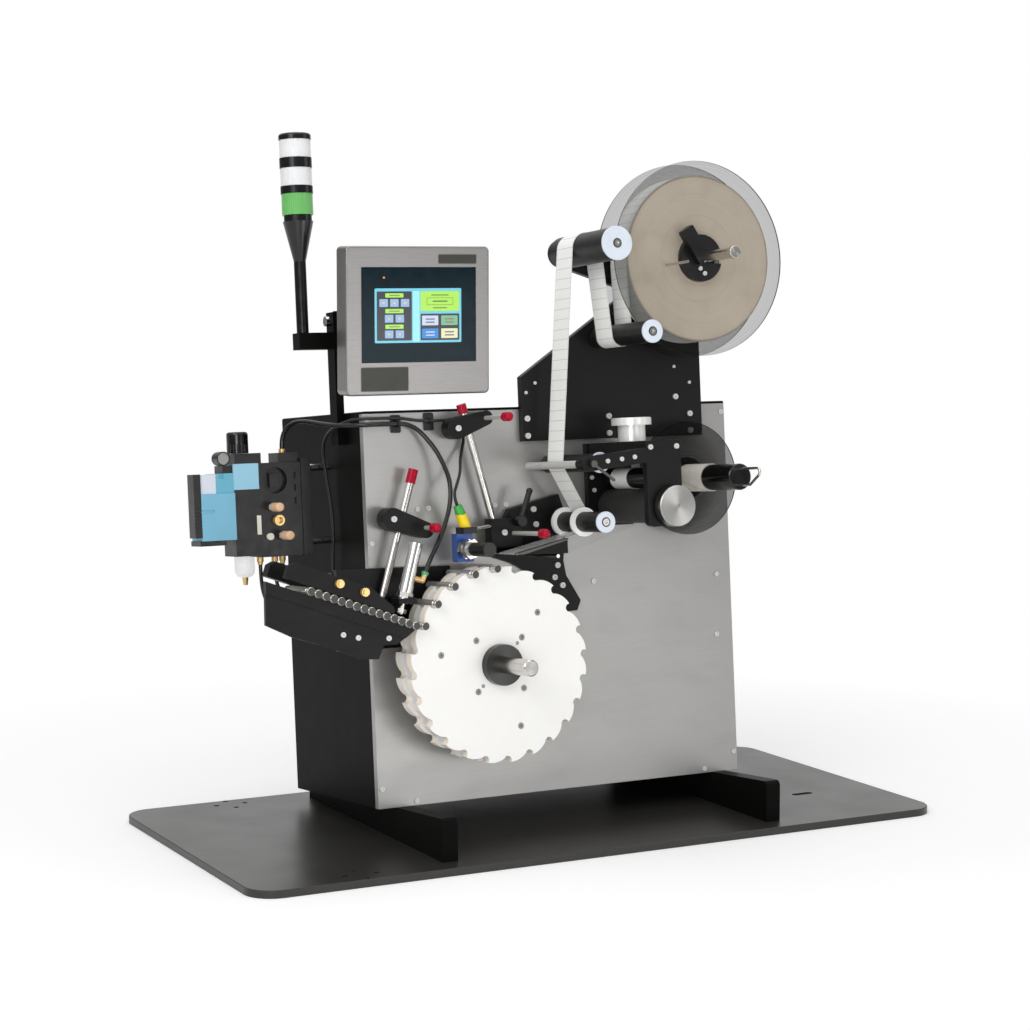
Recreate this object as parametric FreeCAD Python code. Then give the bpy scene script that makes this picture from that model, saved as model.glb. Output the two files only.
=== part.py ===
"""Tabletop label dispenser: a leaning cabinet that peels labels from a reel and wraps small tubes.

Everything on the machine is drawn in the machine's own upright frame (x to the right along the
front plate, y to the back, z up, origin at the front plate's lower left front corner) and is then
leaned back on its skids by to_part_frame().  The part's own frame has its origin in the middle of
the base plate's underside, with x along the plate and +Z up.  All lengths are in millimetres.
"""
import FreeCAD, Part
import math
import os

Vector = FreeCAD.Vector

# ---------------------------------------------------------------- driving dimensions
LEAN = 5.06                      # the machine leans back on its skids, degrees

# base plate and skids
BASE_LENGTH = 1211.0
BASE_WIDTH = 594.0
BASE_THICK = 12.0
BASE_CORNER = 45.0
BASE_FROM_CABINET_X = -286.0     # base plate's left edge, from the cabinet's left side
BASE_FROM_CABINET_Y = -202.0     # base plate's front edge, from the front plate
FOOT_PATTERN_X = -107.0          # hole diamonds for the feet, at the plate's left end
FOOT_PATTERN_Y = (-170.0, 360.0)
FOOT_PATTERN_R = 25.0
FOOT_HOLE_D = 9.0
SLOT_X, SLOT_Y = 782.0, -14.0
SLOT_LENGTH, SLOT_WIDTH = 40.0, 13.0
SKID_THICK = 25.4
SKID_X = (30.4, 610.2)
SKID_FRONT_Y = -164.7
SKID_BACK_Y = 350.7
SKID_NOSE = 9.0
MACHINE_RISE = 51.9              # front plate's lower edge above the base plate
MACHINE_ORIGIN = (
    -(BASE_FROM_CABINET_X + BASE_LENGTH / 2),
    -(BASE_FROM_CABINET_Y + BASE_WIDTH / 2),
    BASE_THICK + MACHINE_RISE,
)

# cabinet
CABINET_W = 660.4
CABINET_H = 618.0
CABINET_D = 328.0
PLATE_THICK = 12.0
LID_LIP = 4.0
SHEET = 2.5
REAR_FLANGE = 15.0
BEND_R = 3.5

# fits
RUNNING_FIT = 0.05               # radial, shaft in its bore
CLEAR = 0.3                      # between faces that pass one another

# label web
WEB_Y = -65.0                    # middle of the label web, in front of the plate
WEB_W = 52.0
WEB_THICK = 0.4

# screw heads (radius, height) and the screws that hold the front plate
PLATE_HEAD = (4.0, 2.4)
LARGE_HEAD = (4.6, 3.4)
MIDDLE_HEAD = (4.1, 3.0)
SMALL_HEAD = (3.5, 2.5)
PIN_HEAD = (2.6, 1.6)
SOCKET_SHARE = 0.55              # socket's corner radius, as a share of the head's
SOCKET_DEPTH_SHARE = 0.6
PLATE_EDGE = 7.0                 # a border screw's distance from the front plate's edge
PLATE_TOP_SCREW_Z = CABINET_H - 18.0
PLATE_LOW_SCREW_Z = 31.0
PLATE_SCREWS = (
    (PLATE_EDGE, PLATE_TOP_SCREW_Z), (PLATE_EDGE, 412.7), (PLATE_EDGE, PLATE_LOW_SCREW_Z),
    (CABINET_W - PLATE_EDGE, PLATE_TOP_SCREW_Z), (CABINET_W - PLATE_EDGE, PLATE_LOW_SCREW_Z),
    (65.0, PLATE_EDGE), (CABINET_W - 65.4, PLATE_EDGE),
    (397.5, 331.6), (CABINET_W - 27.4, 329.5), (CABINET_W - 31.6, 229.4),
    (87.1, 462.5), (106.2, 463.2), (223.4, 462.8), (243.2, 463.5),
)

# supply plate, carrying the reel and the long rollers
SUPPLY_THICK = 12.7
SUPPLY_LEFT = 273.0
SUPPLY_RIGHT = 608.6
SUPPLY_BOTTOM = 562.5
SUPPLY_SHOULDER = 665.0
SUPPLY_CROTCH = (478.0, 801.0)
SUPPLY_HUB_R = 43.6
SUPPLY_ARM_R = 22.0
SUPPLY_SCREWS = (
    (281.0, 598.5), (281.0, 571.0), (431.0, 598.5), (431.0, 571.0), (585.0, 598.5), (585.0, 571.0),
    (558.5, 627.0),
)
SUPPLY_PINS = ((298.0, 655.0), (281.0, 640.0), (558.5, 676.5), (587.0, 650.0))

# reel
REEL_X, REEL_Z = 565.0, 847.0
REEL_DISC_R = 157.5
REEL_DISC_THICK = 3.0
REEL_CORE_R = 38.0
LABEL_ROLL_R = 134.0
REEL_SHAFT_R = 9.0
REEL_SHAFT_CAP_R = 10.3
REEL_SHAFT_END_Y = -203.0
REEL_HUB_PROUD = 8.0
REEL_SPACER_R = 16.0
REEL_LATCH = (62.0, 24.0, 12.0)  # length, width, thickness of the latch bar on the hub
REEL_LATCH_AT = (-16.0, 20.0)    # its middle, from the reel's
REEL_LATCH_DEG = 58.0
REEL_SLOT = (-9.0, 12.0, 22.0)   # lower and upper side, depth
REEL_HUB_SCREWS = ((-4.0, -17.0), (4.0, -25.0))
REEL_PIN = (-62.0, -11.0, 2.2, 66.0)  # x and z from the reel's middle, radius, length

# rollers: x, z, radius, cap radius, front end
TOP_ROLLER = (359.5, 862.0, 25.4, 26.6, -187.0)
LOWER_ROLLER = (417.5, 725.2, 17.5, 18.2, -186.0)
IDLER_ROLLER = (315.5, 524.3, 14.0, 16.0, -184.0)
COLLAR_ROLLER = (330.5, 431.5, 16.0, 16.6, -168.0)
ROLLER_CAP_THICK = 3.5
ROLLER_SHAFT_R = 5.8
ROLLER_RECESS_R = 7.6
ROLLER_RECESS_DEEP = 2.5
COLLAR_R = 23.0
COLLAR_THICK = 6.5

# star wheel
STAR_X, STAR_Z = 174.0, 217.8
STAR_TIP_R = 152.8
STAR_POCKETS = 24
POCKET_CENTRE_R = 149.5
POCKET_R = 6.6
STAR_PHASE_DEG = -2.4            # the top pocket's middle, clockwise from straight up
STAR_RAMP_R = (146.0, 151.0)     # where the tooth's back starts, and its radius on the way up
STAR_FRONT_Y = -94.0
STAR_DISC_THICK = 19.0
STAR_GAP = 19.0
STAR_BOSS_R = 32.0
STAR_BOSS_PROUD = 16.0
STAR_SHAFT_R = 12.7
STAR_SHAFT_END_Y = -197.0
STAR_HUB_R = 66.0
STAR_BOLT_R = 56.0
STAR_BOLT_HEAD_R = 5.2
STAR_POST_R = 103.0
STAR_POST_SIZE = 8.0
STAR_BOLT_DEEP = 5.0
STAR_DOWEL_R = 44.0
DOWEL_SIZE = 3.0

# product tubes
TUBE_R = 6.35
TUBE_LENGTH = 92.0
TUBE_FRONT_Y = -111.0
TUBE_NECK = 5.0
TUBES_ON_WHEEL = 5
TUBES_IN_CHUTE = 15
TUBE_PITCH = 12.95
CHUTE_SLOPE_DEG = 20.2
CHUTE_LOW = (26.5, 288.6)        # middle of the lowest tube in the chute

# peel plate and the black web plate behind it
WEB_PLATE_FRONT = -12.7
WEB_PLATE_SCREWS = ((285.5, 453.7), (289.0, 429.5), (325.1, 361.9), (318.8, 342.9), (332.8, 329.2))
WEB_PLATE_ARC_R = 168.0
WEB_PLATE_ARC = (66.0, 46.0, 26.0)  # the hollow's ends and middle, clockwise from straight up
WEB_PLATE_CORNERS = (
    (204.0, 384.0), (204.0, 396.0), (243.0, 455.5), (332.5, 476.0), (345.0, 440.0), (337.0, 369.0),
    (341.0, 345.0), (366.0, 303.0), (359.0, 287.0),
)
PEEL_TIP = (209.0, 387.3)
PEEL_TIP_R = 0.8
PEEL_BLADE_THICK = 3.0
PEEL_BACK_X = 300.0
PEEL_FRONT_Y = -99.0
GUIDE_BAR = (281.0, 380.3, 3.0)  # bar under the peel block that turns the liner up

# nip station
DRIVE_X, DRIVE_Z = 431.0, 452.0
DRIVE_R = 27.0
DRIVE_SHAFT_R = 8.0
NIP_R = 16.4
NIP_SHAFT_R = 5.0
NIP_FRONT = -198.0
NIP_PLATE_THICK = 12.7
NIP_PLATE_X = (390.0, 452.0)
NIP_PLATE_Z = (421.0, 555.0)
NIP_REAR_X = (388.0, 470.0)
NIP_REAR_Z = (421.0, 555.0)
NIP_BEAM_LOW = 519.5
NIP_SCREWS = ((396.8, 545.0), (444.0, 545.0))
ROLLER_ENDS = (-184.0, -14.2)      # faces of the driven and the pressed roller
NIP_REAR_SCREWS = ((398.6, 479.4), (395.0, 500.0))
KNOB_R = 32.0
KNOB_FRONT_Y = -219.0
KNOB_THICK = 18.5
PRESSURE_Y = -85.0
PRESSURE_FLANGE_R = 32.0
PRESSURE_BARREL_R = 22.0
PRESSURE_BARREL_H = 26.0
PRESSURE_FLANGE_H = 12.0
PRESSURE_STUD_R = 6.0
PRESSURE_STUD_DEEP = 20.0

# web guide rod, its carrying arm and brake lever
GUIDE_X, GUIDE_Z = 287.5, 522.6
GUIDE_ROD_R = 6.0
GUIDE_ROD_SUNK = 6.0             # the rod's front end lies so far inside the arm
GUIDE_SLEEVE_BACK = -168.0
GUIDE_ARM_FRONT = -198.0
GUIDE_ARM_H = 23.0
GUIDE_ARM_RISE = 11.5             # the arm climbs by this much towards the nip plate
GUIDE_ARM_SCREWS = ((320.0, 526.0), (345.0, 528.3), (368.0, 530.7))
GUIDE_LEVER_PIVOT = (292.0, 522.5)
GUIDE_LEVER_END = (327.0, 496.5)
GUIDE_HUB_R = 5.5
GUIDE_STUD_R = 2.0
GUIDE_STUD_DEEP = 4.0
GUIDE_WIRE_R = 2.4

# rewind spindle
REWIND_X, REWIND_Z = 562.3, 492.3
REWIND_DISC_R = 92.7
REWIND_DISC_THICK = 3.0
REWIND_DISC_Y = -38.5
REWIND_COLLAR_R = 14.0
MANDREL_R = 21.0
MANDREL_FRONT_Y = -195.0
REWIND_SHAFT_R = 9.5
WOUND_R = 22.4
WOUND_FRONT_Y = -112.0           # the core stands out in front of the liner wound on it
REWIND_FLANGE_R = 34.0
REWIND_FLANGE_THICK = 12.0
BAIL_WIRE_R = 2.2
BAIL_LEG = 13.0                  # each wire leg, above and below the mandrel's axis
BAIL_NOSE_Y = -268.0
BAIL_ROOT_Y = -70.0
BAIL_SLANT = 45.0
BAIL_BEND = 6.0

# feed chute
CHUTE_LEFT_X = -214.0
CHUTE_REAR_LEFT_X = -176.0
CHUTE_BACK = -12.7               # the rear side plate stands on a foot plate of this thickness
CHUTE_FRONT = -107.0
CHUTE_SIDE_THICK = 10.0
CHUTE_REAR_THICK = 15.0
CHUTE_FRONT_LOW = (              # the front side plate's lower edge, from the right
    (-3.4, 262.3), (-26.6, 262.3), (-35.8, 242.0), (-68.6, 244.3), (-105.3, 262.0), (-173.5, 284.6),
    (CHUTE_LEFT_X - 1.0, 305.0),
)
CHUTE_REAR_LOW = (
    (10.7, 276.5), (-3.4, 262.3), (-35.8, 252.0), (-105.3, 272.0), (CHUTE_REAR_LEFT_X, 304.0),
)
CHUTE_FOOT = ((-60.0, 250.0), (100.0, 250.0), (134.0, 290.0), (134.0, 372.0), (-60.0, 376.0))
CHUTE_FLOOR = (9.0, 17.0)         # the floor's two faces, below the track
CHUTE_SCREWS = ((-92.8, 282.9), (-68.6, 276.8), (-18.5, 272.6))
HOLD_DOWN_LEFT = -186.0
HOLD_DOWN_RIGHT = (-8.0, 15.0)    # right ends of the front and the rear rail
HOLD_DOWN_H = 26.0
HOLD_DOWN_TOE = 9.0               # height of the front rail's right end
HOLD_DOWN_GAP = 1.2
THUMB_SCREWS = ((-97.4, 359.9), (-56.9, 344.8))
TRACK_BAR_H = 17.0
TRACK_BAR_PROUD = 3.0
TRACK_BAR_RIGHT = 8.0
THUMB_R = 6.5
TIE_ROD_R = 4.0

# clamps: left end x, z, r, then right end x, z, r
LEFT_ARM = (28.5, 450.0, 17.5, 84.0, 430.5, 12.5)
TOP_ARM = (145.4, 586.5, 17.0, 196.0, 601.5, 11.5)
ARM_FRONT = -38.1
ARM_THICK = 25.4
ARM_SPACER_R = 10.0
ROD_Y = -25.4
ROD_R = 6.0
LEFT_ROD = ((71.2, 523.8), (5.5, 318.2))
TOP_ROD = ((158.7, 622.5), (208.3, 430.2))
GRIP_R = 7.8
LEFT_GRIP, TOP_GRIP = 21.0, 13.0  # length of the red sleeve on each rod
LEVERS = {                       # x, z and the ball's middle y
    "ball_lever_left": (83.0, 434.0, -77.0),
    "ball_lever_top": (195.0, 601.0, -115.0),
    "ball_lever_low": (236.0, 418.0, -144.0),
}
BALL_R = 7.5
CAP_LENGTH = 12.0                # the red cap's straight part, behind its ball
CAP_SHOULDER = 2.5
LEVER_R = 3.6
LEVER_DEEP = 14.0
BLOCK_X = (198.0, 250.0)
BLOCK_Z = (397.0, 442.0)
BLOCK_SCREW = (219.0, 420.0)

# label sensor and its clamp lever
SENSOR_X, SENSOR_Z = 141.0, 398.3
SENSOR_R = 11.0
SENSOR_NUT_R = 16.0
SENSOR_NUT_Y = (-80.0, -64.0)
SENSOR_NUT_THICK = 8.0
SENSOR_FRONT_Y = -140.0
SENSOR_SPLIT_Y = -88.0            # the smooth housing ends and the thread begins
SENSOR_BLOCK_X = (130.0, 158.0)
SENSOR_BLOCK_Y = (-50.0, -30.0)
SENSOR_BLOCK_Z = (378.0, 422.0)
SENSOR_CARRIER_X = (136.0, 160.0)
SENSOR_CARRIER_Y = (-62.0, -34.0)
SENSOR_CARRIER_TOP = 432.0
SENSOR_POST_LEFT = (153.0, -46.0, 427.0)
SENSOR_POST_RIGHT = (200.5, -33.0, 431.0)
SENSOR_POST_R = 3.4
CONNECTOR_LOW = (147.5, -50.0, 427.0)
CONNECTOR_HIGH = (132.6, -50.0, 466.5)
CONNECTOR_R = 8.6
RATCHET = (243.5, 436.5)
RATCHET_END = (261.0, 483.5)
RATCHET_Y = (-56.0, -42.0)
RATCHET_HUB_R = 8.0
RATCHET_STUD_R = 3.0
RATCHET_HANDLE_R = 4.6

# air cylinder that holds the row of tubes back
CYLINDER_Y = -65.0
CYLINDER_TOP = (52.5, 411.8)
CYLINDER_LOW = (30.5, 337.8)
CYLINDER_R = 11.0
CYLINDER_LENGTH = math.hypot(CYLINDER_TOP[0] - CYLINDER_LOW[0], CYLINDER_TOP[1] - CYLINDER_LOW[1])
NOSE_R = 8.0
BRACKET_THICK = 8.0
BRACKET_ARM_LEFT = 24.0
PORT_UP, PORT_OUT, PORT_R = 24.2, 24.0, 4.4
PIN_INSIDE = 30.0
PIN_NUT_R = 8.5
PIN_NUT_H = 6.5
BODY_NUT_R = 13.0
BODY_NUT_H = 9.0
PIN_R = 4.0
PIN_REACH = 34.0
PIN_BACK = 6.0                   # how far the pin can draw back

# operator panel on its post, both placed from the cabinet's top
POST_X = (-12.7, 0.0)
POST_Y = (68.0, 95.0)
POST_Z = (CABINET_H - 50.0, CABINET_H + 159.0)
BEACON_ARM_LEFT = -71.0
BEACON_ARM_Z = (CABINET_H + 101.0, CABINET_H + 127.0)
TILT_Y, TILT_Z = 81.5, CABINET_H + 145.0
TILT_BOLT_R = 5.0
TILT_HEAD_R = 8.0
TILT_HEAD_THICK = 8.0
TILT_EAR_HALF = 16.0             # half the height of the ear on the hinge bolt
TILT_WING = (40.0, 8.0, 34.0)    # right edge, thickness, and height over the bolt
PANEL_X = (-22.5, 224.7)
PANEL_FRONT_Y = -6.0
PANEL_Z = (CABINET_H + 31.0, CABINET_H + 262.5)
PANEL_DEEP = 36.0
PANEL_CORNER = 8.0
PANEL_EDGE_R = 3.0
BEZEL_X = (3.0, 201.0)
BEZEL_Z = (CABINET_H + 82.0, CABINET_H + 230.0)
BEZEL_RECESS = 2.0
BEZEL_THICK = 4.0
SCREEN_X = (26.0, 176.5)
SCREEN_Z = (CABINET_H + 112.0, CABINET_H + 197.5)
SCREEN_RECESS = 0.4
LAMP = (42.0, CABINET_H + 213.8)
LAMP_R = 1.6

# stack light
BEACON_X, BEACON_Y = -59.0, 81.5
BEACON_HEIGHTS = (0.0, 112.0, 174.0, 184.0, 217.0, 229.0, 257.0, 273.0, 301.0, 311.0)  # above its arm
BEACON_LEVELS = tuple(BEACON_ARM_Z[1] + height for height in BEACON_HEIGHTS)
BEACON_CAP_EDGE_R = 4.0
BEACON_LENS_R = 24.5
BEACON_RING_R = 25.5
BEACON_POLE_R = 9.5
BEACON_CORE_R = 8.0
BEACON_WALL = 2.5

# valve group on the cabinet's left side
VALVE_FRONT_Y = 120.0
VALVE_BACK_Y = 172.0
VALVE_PLATE_X = (-57.0, -41.0)
VALVE_PLATE_Z = (397.0, 550.0)
KNOB_X, KNOB_Y = -151.7, 145.0
VALVE_POST_Z = (418.0, 535.0)
VALVE_POST_R = 6.0
MANIFOLD_LEFT = -128.0
MANIFOLD_LOW, MANIFOLD_TOP = 397.0, 545.0
MANIFOLD_PORT = (-101.0, 517.0, 20.5)
MANIFOLD_SLOT_X = (-70.0, -66.0)
MANIFOLD_SLOT_Z = (484.0, 504.0, 524.0)
FILTER_LEFT, FILTER_LOW = -170.0, 400.0
BLOCK_SEAT_Z = 504.5             # underside of the pale blue block
LABEL_STRIP_X, LABEL_STRIP_Z = (-134.0, -127.0), (433.0, 463.0)
BODY_LEFT, BODY_LOW, BODY_TOP = -226.0, 427.0, 500.0
BLOCKS_MEET_X, BLOCKS_TOP = -200.0, 531.0           # the two coloured blocks on the valve body
DARK_BLOCK_LEFT, DARK_BLOCK_TOP = -186.0, 543.0
CAP_LEFT, CAP_LOW = -237.5, 432.0
CAP_GROOVES, CAP_GROOVE_LOW, CAP_GROOVE_PITCH, CAP_GROOVE_H = 6, 447.0, 6.0, 2.5
FOOT_LEFT, FOOT_LOW = -229.0, 419.0
COVER_X = (-166.0, -122.0)
KNOB_SEAT_Z = 561.0
REGULATOR_R = 17.0
BOWL_X, BOWL_R = -148.0, 16.0
BOWL_LOW_Z = 366.0
SILENCERS = ((-107.0, 475.0), (-91.5, 430.0))
SILENCER_REACH = 34.0
SILENCER_R = 7.0
SILENCER_HEX = 9.0
SILENCER_TIP_R = 3.0
FITTING_X = (-121.7, -97.0, -84.0)
FITTING_R = 5.4
FITTING_BODY_LOW = 389.0
HUMP_X = (-92.0, -58.0)
HUMP_TOP = 560.0
HUMP_HOSE_X = -77.0
GAUGE = (-186.0, 554.0)
GAUGE_R = 11.0

# hoses, cables and clips
HOSE_R = 3.6
DROP_HOSE_R = 3.0
CABLE_R = 2.4
HOSE_TOP_Z = 385.0
GLAND_PROUD = 12.0
GLANDS = ((198.0, 284.0, DROP_HOSE_R), (168.0, 315.0, DROP_HOSE_R), (136.0, 337.0, DROP_HOSE_R))
CABLE_SOCKET = (-9.0, 117.0, 366.0)  # where the cable enters the angle socket on the cabinet's side
TIE_PAD_W, TIE_PAD_H, TIE_PAD_THICK = 16.0, 28.0, 4.0
TIE_STRAP_W = 3.0
HOSE_RUN_Y, HOSE_RUN_Z = -9.6, CABINET_H - 21.0     # along the front plate's top edge
CABLE_RUN_Y, CABLE_RUN_Z = -8.0, CABINET_H - 17.8
TIE_MOUNTS = (                   # pad centre, what it holds (y, z), and that piece's radius
    ((55.0, HOSE_RUN_Z), (HOSE_RUN_Y, HOSE_RUN_Z), HOSE_R),
    ((112.0, CABLE_RUN_Z - 1.2), (CABLE_RUN_Y, CABLE_RUN_Z), CABLE_R),
)

# machinery inside the cabinet
PULLEY_R = 20.0
PULLEY_Y = (16.0, 34.0)
BELT_THICK = 2.0
GEARBOX = 100.0
GEARBOX_DEEP = 60.0
MOTOR_R = 40.0
MOTOR_LENGTH = 120.0
DRIVE_GEARBOX_Y = 60.0


# ---------------------------------------------------------------- small helpers
def box(x0, x1, y0, y1, z0, z1):
    low = Vector(min(x0, x1), min(y0, y1), min(z0, z1))
    return Part.makeBox(abs(x1 - x0), abs(y1 - y0), abs(z1 - z0), low)


def rod(start, end, radius):
    start, end = Vector(*start), Vector(*end)
    return Part.makeCylinder(radius, (end - start).Length, start, end - start)


def rod_y(x, z, radius, y_front, y_back):
    return Part.makeCylinder(radius, y_back - y_front, Vector(x, y_front, z), Vector(0, 1, 0))


def rod_z(x, y, radius, z_low, z_high):
    return Part.makeCylinder(radius, z_high - z_low, Vector(x, y, z_low), Vector(0, 0, 1))


def plate_xz(outline, y_front, y_back):
    """A flat plate parallel to the front plate, from its corners (x, z)."""
    points = [Vector(x, y_front, z) for x, z in outline]
    face = Part.Face(Part.makePolygon(points + points[:1]))
    return face.extrude(Vector(0, y_back - y_front, 0))


def turned(profile, x, y, z, axis):
    """A solid of revolution: profile holds (radius, distance along the axis)."""
    points = [Vector(radius, 0, along) for radius, along in profile]
    face = Part.Face(Part.makePolygon(points + points[:1]))
    solid = face.revolve(Vector(0, 0, 0), Vector(0, 0, 1), 360)
    solid.Placement = FreeCAD.Placement(Vector(x, y, z), FreeCAD.Rotation(Vector(0, 0, 1), axis))
    return solid


def filleted(solid, radius, wanted):
    """Round the edges that wanted(edge) picks."""
    edges = [edge for edge in solid.Edges if wanted(edge)]
    return solid.makeFillet(radius, edges)


def runs_along(edge, axis):
    if not isinstance(edge.Curve, Part.Line):
        return False
    direction = edge.tangentAt(edge.FirstParameter)
    return abs(abs(getattr(direction, axis)) - 1.0) < 1e-6


def polar(x, z, radius, clockwise_deg):
    """A point round (x, z), its angle counted clockwise from straight up."""
    angle = math.radians(clockwise_deg)
    return x + radius * math.sin(angle), z + radius * math.cos(angle)


def hexagon(x, z, radius, turn_deg=0.0):
    return [polar(x, z, radius, turn_deg + 60 * step) for step in range(6)]


def hull_of_circles(x0, z0, r0, x1, z1, r1, y_front, y_back):
    """A link plate: two round ends and their outer tangents."""
    reach = math.hypot(x1 - x0, z1 - z0)
    heading = math.atan2(z1 - z0, x1 - x0)
    spread = math.acos((r0 - r1) / reach)
    corners = []
    for x, z, r, side in ((x0, z0, r0, 1), (x1, z1, r1, 1), (x1, z1, r1, -1), (x0, z0, r0, -1)):
        angle = heading + side * spread
        corners.append((x + r * math.cos(angle), z + r * math.sin(angle)))
    ends = [rod_y(x0, z0, r0, y_front, y_back), rod_y(x1, z1, r1, y_front, y_back)]
    return plate_xz(corners, y_front, y_back).fuse(ends).removeSplitter()


def cap_screw(x, z, y_seat, head_size):
    """A socket head screw seen from the front, its head standing on the plane y = y_seat."""
    head_r, head_h = head_size
    head = rod_y(x, z, head_r, y_seat - head_h, y_seat)
    corners = hexagon(x, z, head_r * SOCKET_SHARE)
    return head.cut(plate_xz(corners, y_seat - head_h - 1, y_seat - head_h * (1 - SOCKET_DEPTH_SHARE)))


def to_part_frame(shape):
    """Lean the machine back and set it on the base plate."""
    placed = shape.copy()
    placed.rotate(Vector(0, 0, 0), Vector(1, 0, 0), -LEAN)
    placed.translate(Vector(*MACHINE_ORIGIN))
    return placed


NODES = {}


def node(name, *solids):
    """Keep the solids of one node, in the machine's frame."""
    NODES[name] = [to_part_frame(solid) for solid in solids]


def base_node(name, *solids):
    """Keep the solids of one node that is drawn in the part's own frame."""
    NODES[name] = list(solids)


# ---------------------------------------------------------------- base, skids and cabinet
def base_plate():
    plate = Part.makeBox(BASE_LENGTH, BASE_WIDTH, BASE_THICK, Vector(-BASE_LENGTH / 2, -BASE_WIDTH / 2, 0))
    plate = filleted(plate, BASE_CORNER, lambda edge: runs_along(edge, "z"))
    plate = plate.makeChamfer(1.0, [edge for edge in plate.Edges if edge.CenterOfMass.z > BASE_THICK - 0.01])
    ox, oy = MACHINE_ORIGIN[0], MACHINE_ORIGIN[1]
    for centre_y in FOOT_PATTERN_Y:
        for quarter in range(4):
            x, y = polar(ox + FOOT_PATTERN_X, oy + centre_y, FOOT_PATTERN_R, 90 * quarter)
            plate = plate.cut(rod_z(x, y, FOOT_HOLE_D / 2, -1, BASE_THICK + 1))
    slot_half = (SLOT_LENGTH - SLOT_WIDTH) / 2
    slot = box(ox + SLOT_X - slot_half, ox + SLOT_X + slot_half, oy + SLOT_Y - SLOT_WIDTH / 2,
               oy + SLOT_Y + SLOT_WIDTH / 2, -1, BASE_THICK + 1)
    for side in (-1, 1):
        end_x = ox + SLOT_X + side * slot_half
        slot = slot.fuse(rod_z(end_x, oy + SLOT_Y, SLOT_WIDTH / 2, -1, BASE_THICK + 1))
    return plate.cut(slot)


def skid(x):
    """A tapered bar under the cabinet; its sloping top gives the machine its lean."""
    def seat_height(y):
        return MACHINE_ORIGIN[2] - y * math.sin(math.radians(LEAN))

    def seat_y(y):
        return MACHINE_ORIGIN[1] + y * math.cos(math.radians(LEAN))

    outline = [
        (seat_y(SKID_FRONT_Y), BASE_THICK),
        (seat_y(SKID_FRONT_Y), seat_height(SKID_FRONT_Y)),
        (seat_y(SKID_BACK_Y), seat_height(SKID_BACK_Y)),
        (seat_y(SKID_BACK_Y), BASE_THICK),
    ]
    left = MACHINE_ORIGIN[0] + x
    points = [Vector(left, y, z) for y, z in outline]
    bar = Part.Face(Part.makePolygon(points + points[:1])).extrude(Vector(SKID_THICK, 0, 0))
    nose_y, nose_z = outline[1]
    return filleted(bar, SKID_NOSE, lambda edge: runs_along(edge, "x")
                    and abs(edge.CenterOfMass.y - nose_y) < 1 and abs(edge.CenterOfMass.z - nose_z) < 1)


def cabinet_shell():
    """Folded sheet: two sides, floor and a thick lid whose lip covers the front plate's edge."""
    rear = CABINET_D - SHEET
    outer = box(0, CABINET_W, PLATE_THICK, rear, 0, CABINET_H)
    outer = outer.cut(box(SHEET, CABINET_W - SHEET, 0, CABINET_D, SHEET, CABINET_H - LID_LIP))
    lid = box(0, CABINET_W, 0, rear, CABINET_H - LID_LIP, CABINET_H)
    lid = filleted(lid, BEND_R, lambda edge: runs_along(edge, "y") and edge.CenterOfMass.z > CABINET_H - 1)
    outer = outer.cut(box(0, CABINET_W, 0, CABINET_D, CABINET_H - LID_LIP, CABINET_H)).fuse(lid)
    flange_z = CABINET_H - LID_LIP
    for x in (SHEET, CABINET_W - SHEET - REAR_FLANGE):
        outer = outer.fuse(box(x, x + REAR_FLANGE, rear - SHEET, rear, SHEET, flange_z))
    return outer.removeSplitter()


def rear_panel():
    panel = box(0, CABINET_W, CABINET_D - SHEET, CABINET_D, 0, CABINET_H)
    return filleted(panel, BEND_R, lambda edge: runs_along(edge, "y") and edge.CenterOfMass.z > CABINET_H - 1)


def front_plate():
    plate = box(0, CABINET_W, 0, PLATE_THICK, 0, CABINET_H - LID_LIP)
    bores = (
        (STAR_X, STAR_Z, STAR_SHAFT_R),
        (DRIVE_X, DRIVE_Z, DRIVE_SHAFT_R),
        (REWIND_X, REWIND_Z, REWIND_SHAFT_R),
    )
    for x, z, radius in bores:
        plate = plate.cut(rod_y(x, z, radius + RUNNING_FIT, -1, PLATE_THICK + 1))
    return plate


def machine_screws():
    """Every socket screw that stays still, as one group of separate solids."""
    chute_seat = CHUTE_FRONT + TRACK_BAR_PROUD
    groups = (
        (PLATE_SCREWS, 0.0, PLATE_HEAD),
        (SUPPLY_SCREWS, -SUPPLY_THICK, LARGE_HEAD),
        (SUPPLY_PINS, -SUPPLY_THICK, PIN_HEAD),
        (WEB_PLATE_SCREWS, WEB_PLATE_FRONT, LARGE_HEAD),
        ((LEFT_ARM[:2], TOP_ARM[:2], BLOCK_SCREW), ARM_FRONT, LARGE_HEAD),
        (NIP_SCREWS, NIP_FRONT, MIDDLE_HEAD),
        (NIP_REAR_SCREWS, WEB_PLATE_FRONT, SMALL_HEAD),
        (GUIDE_ARM_SCREWS, GUIDE_ARM_FRONT, SMALL_HEAD),
        (CHUTE_SCREWS, chute_seat, MIDDLE_HEAD),
    )
    return [cap_screw(x, z, seat, head) for places, seat, head in groups for x, z in places]


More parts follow.
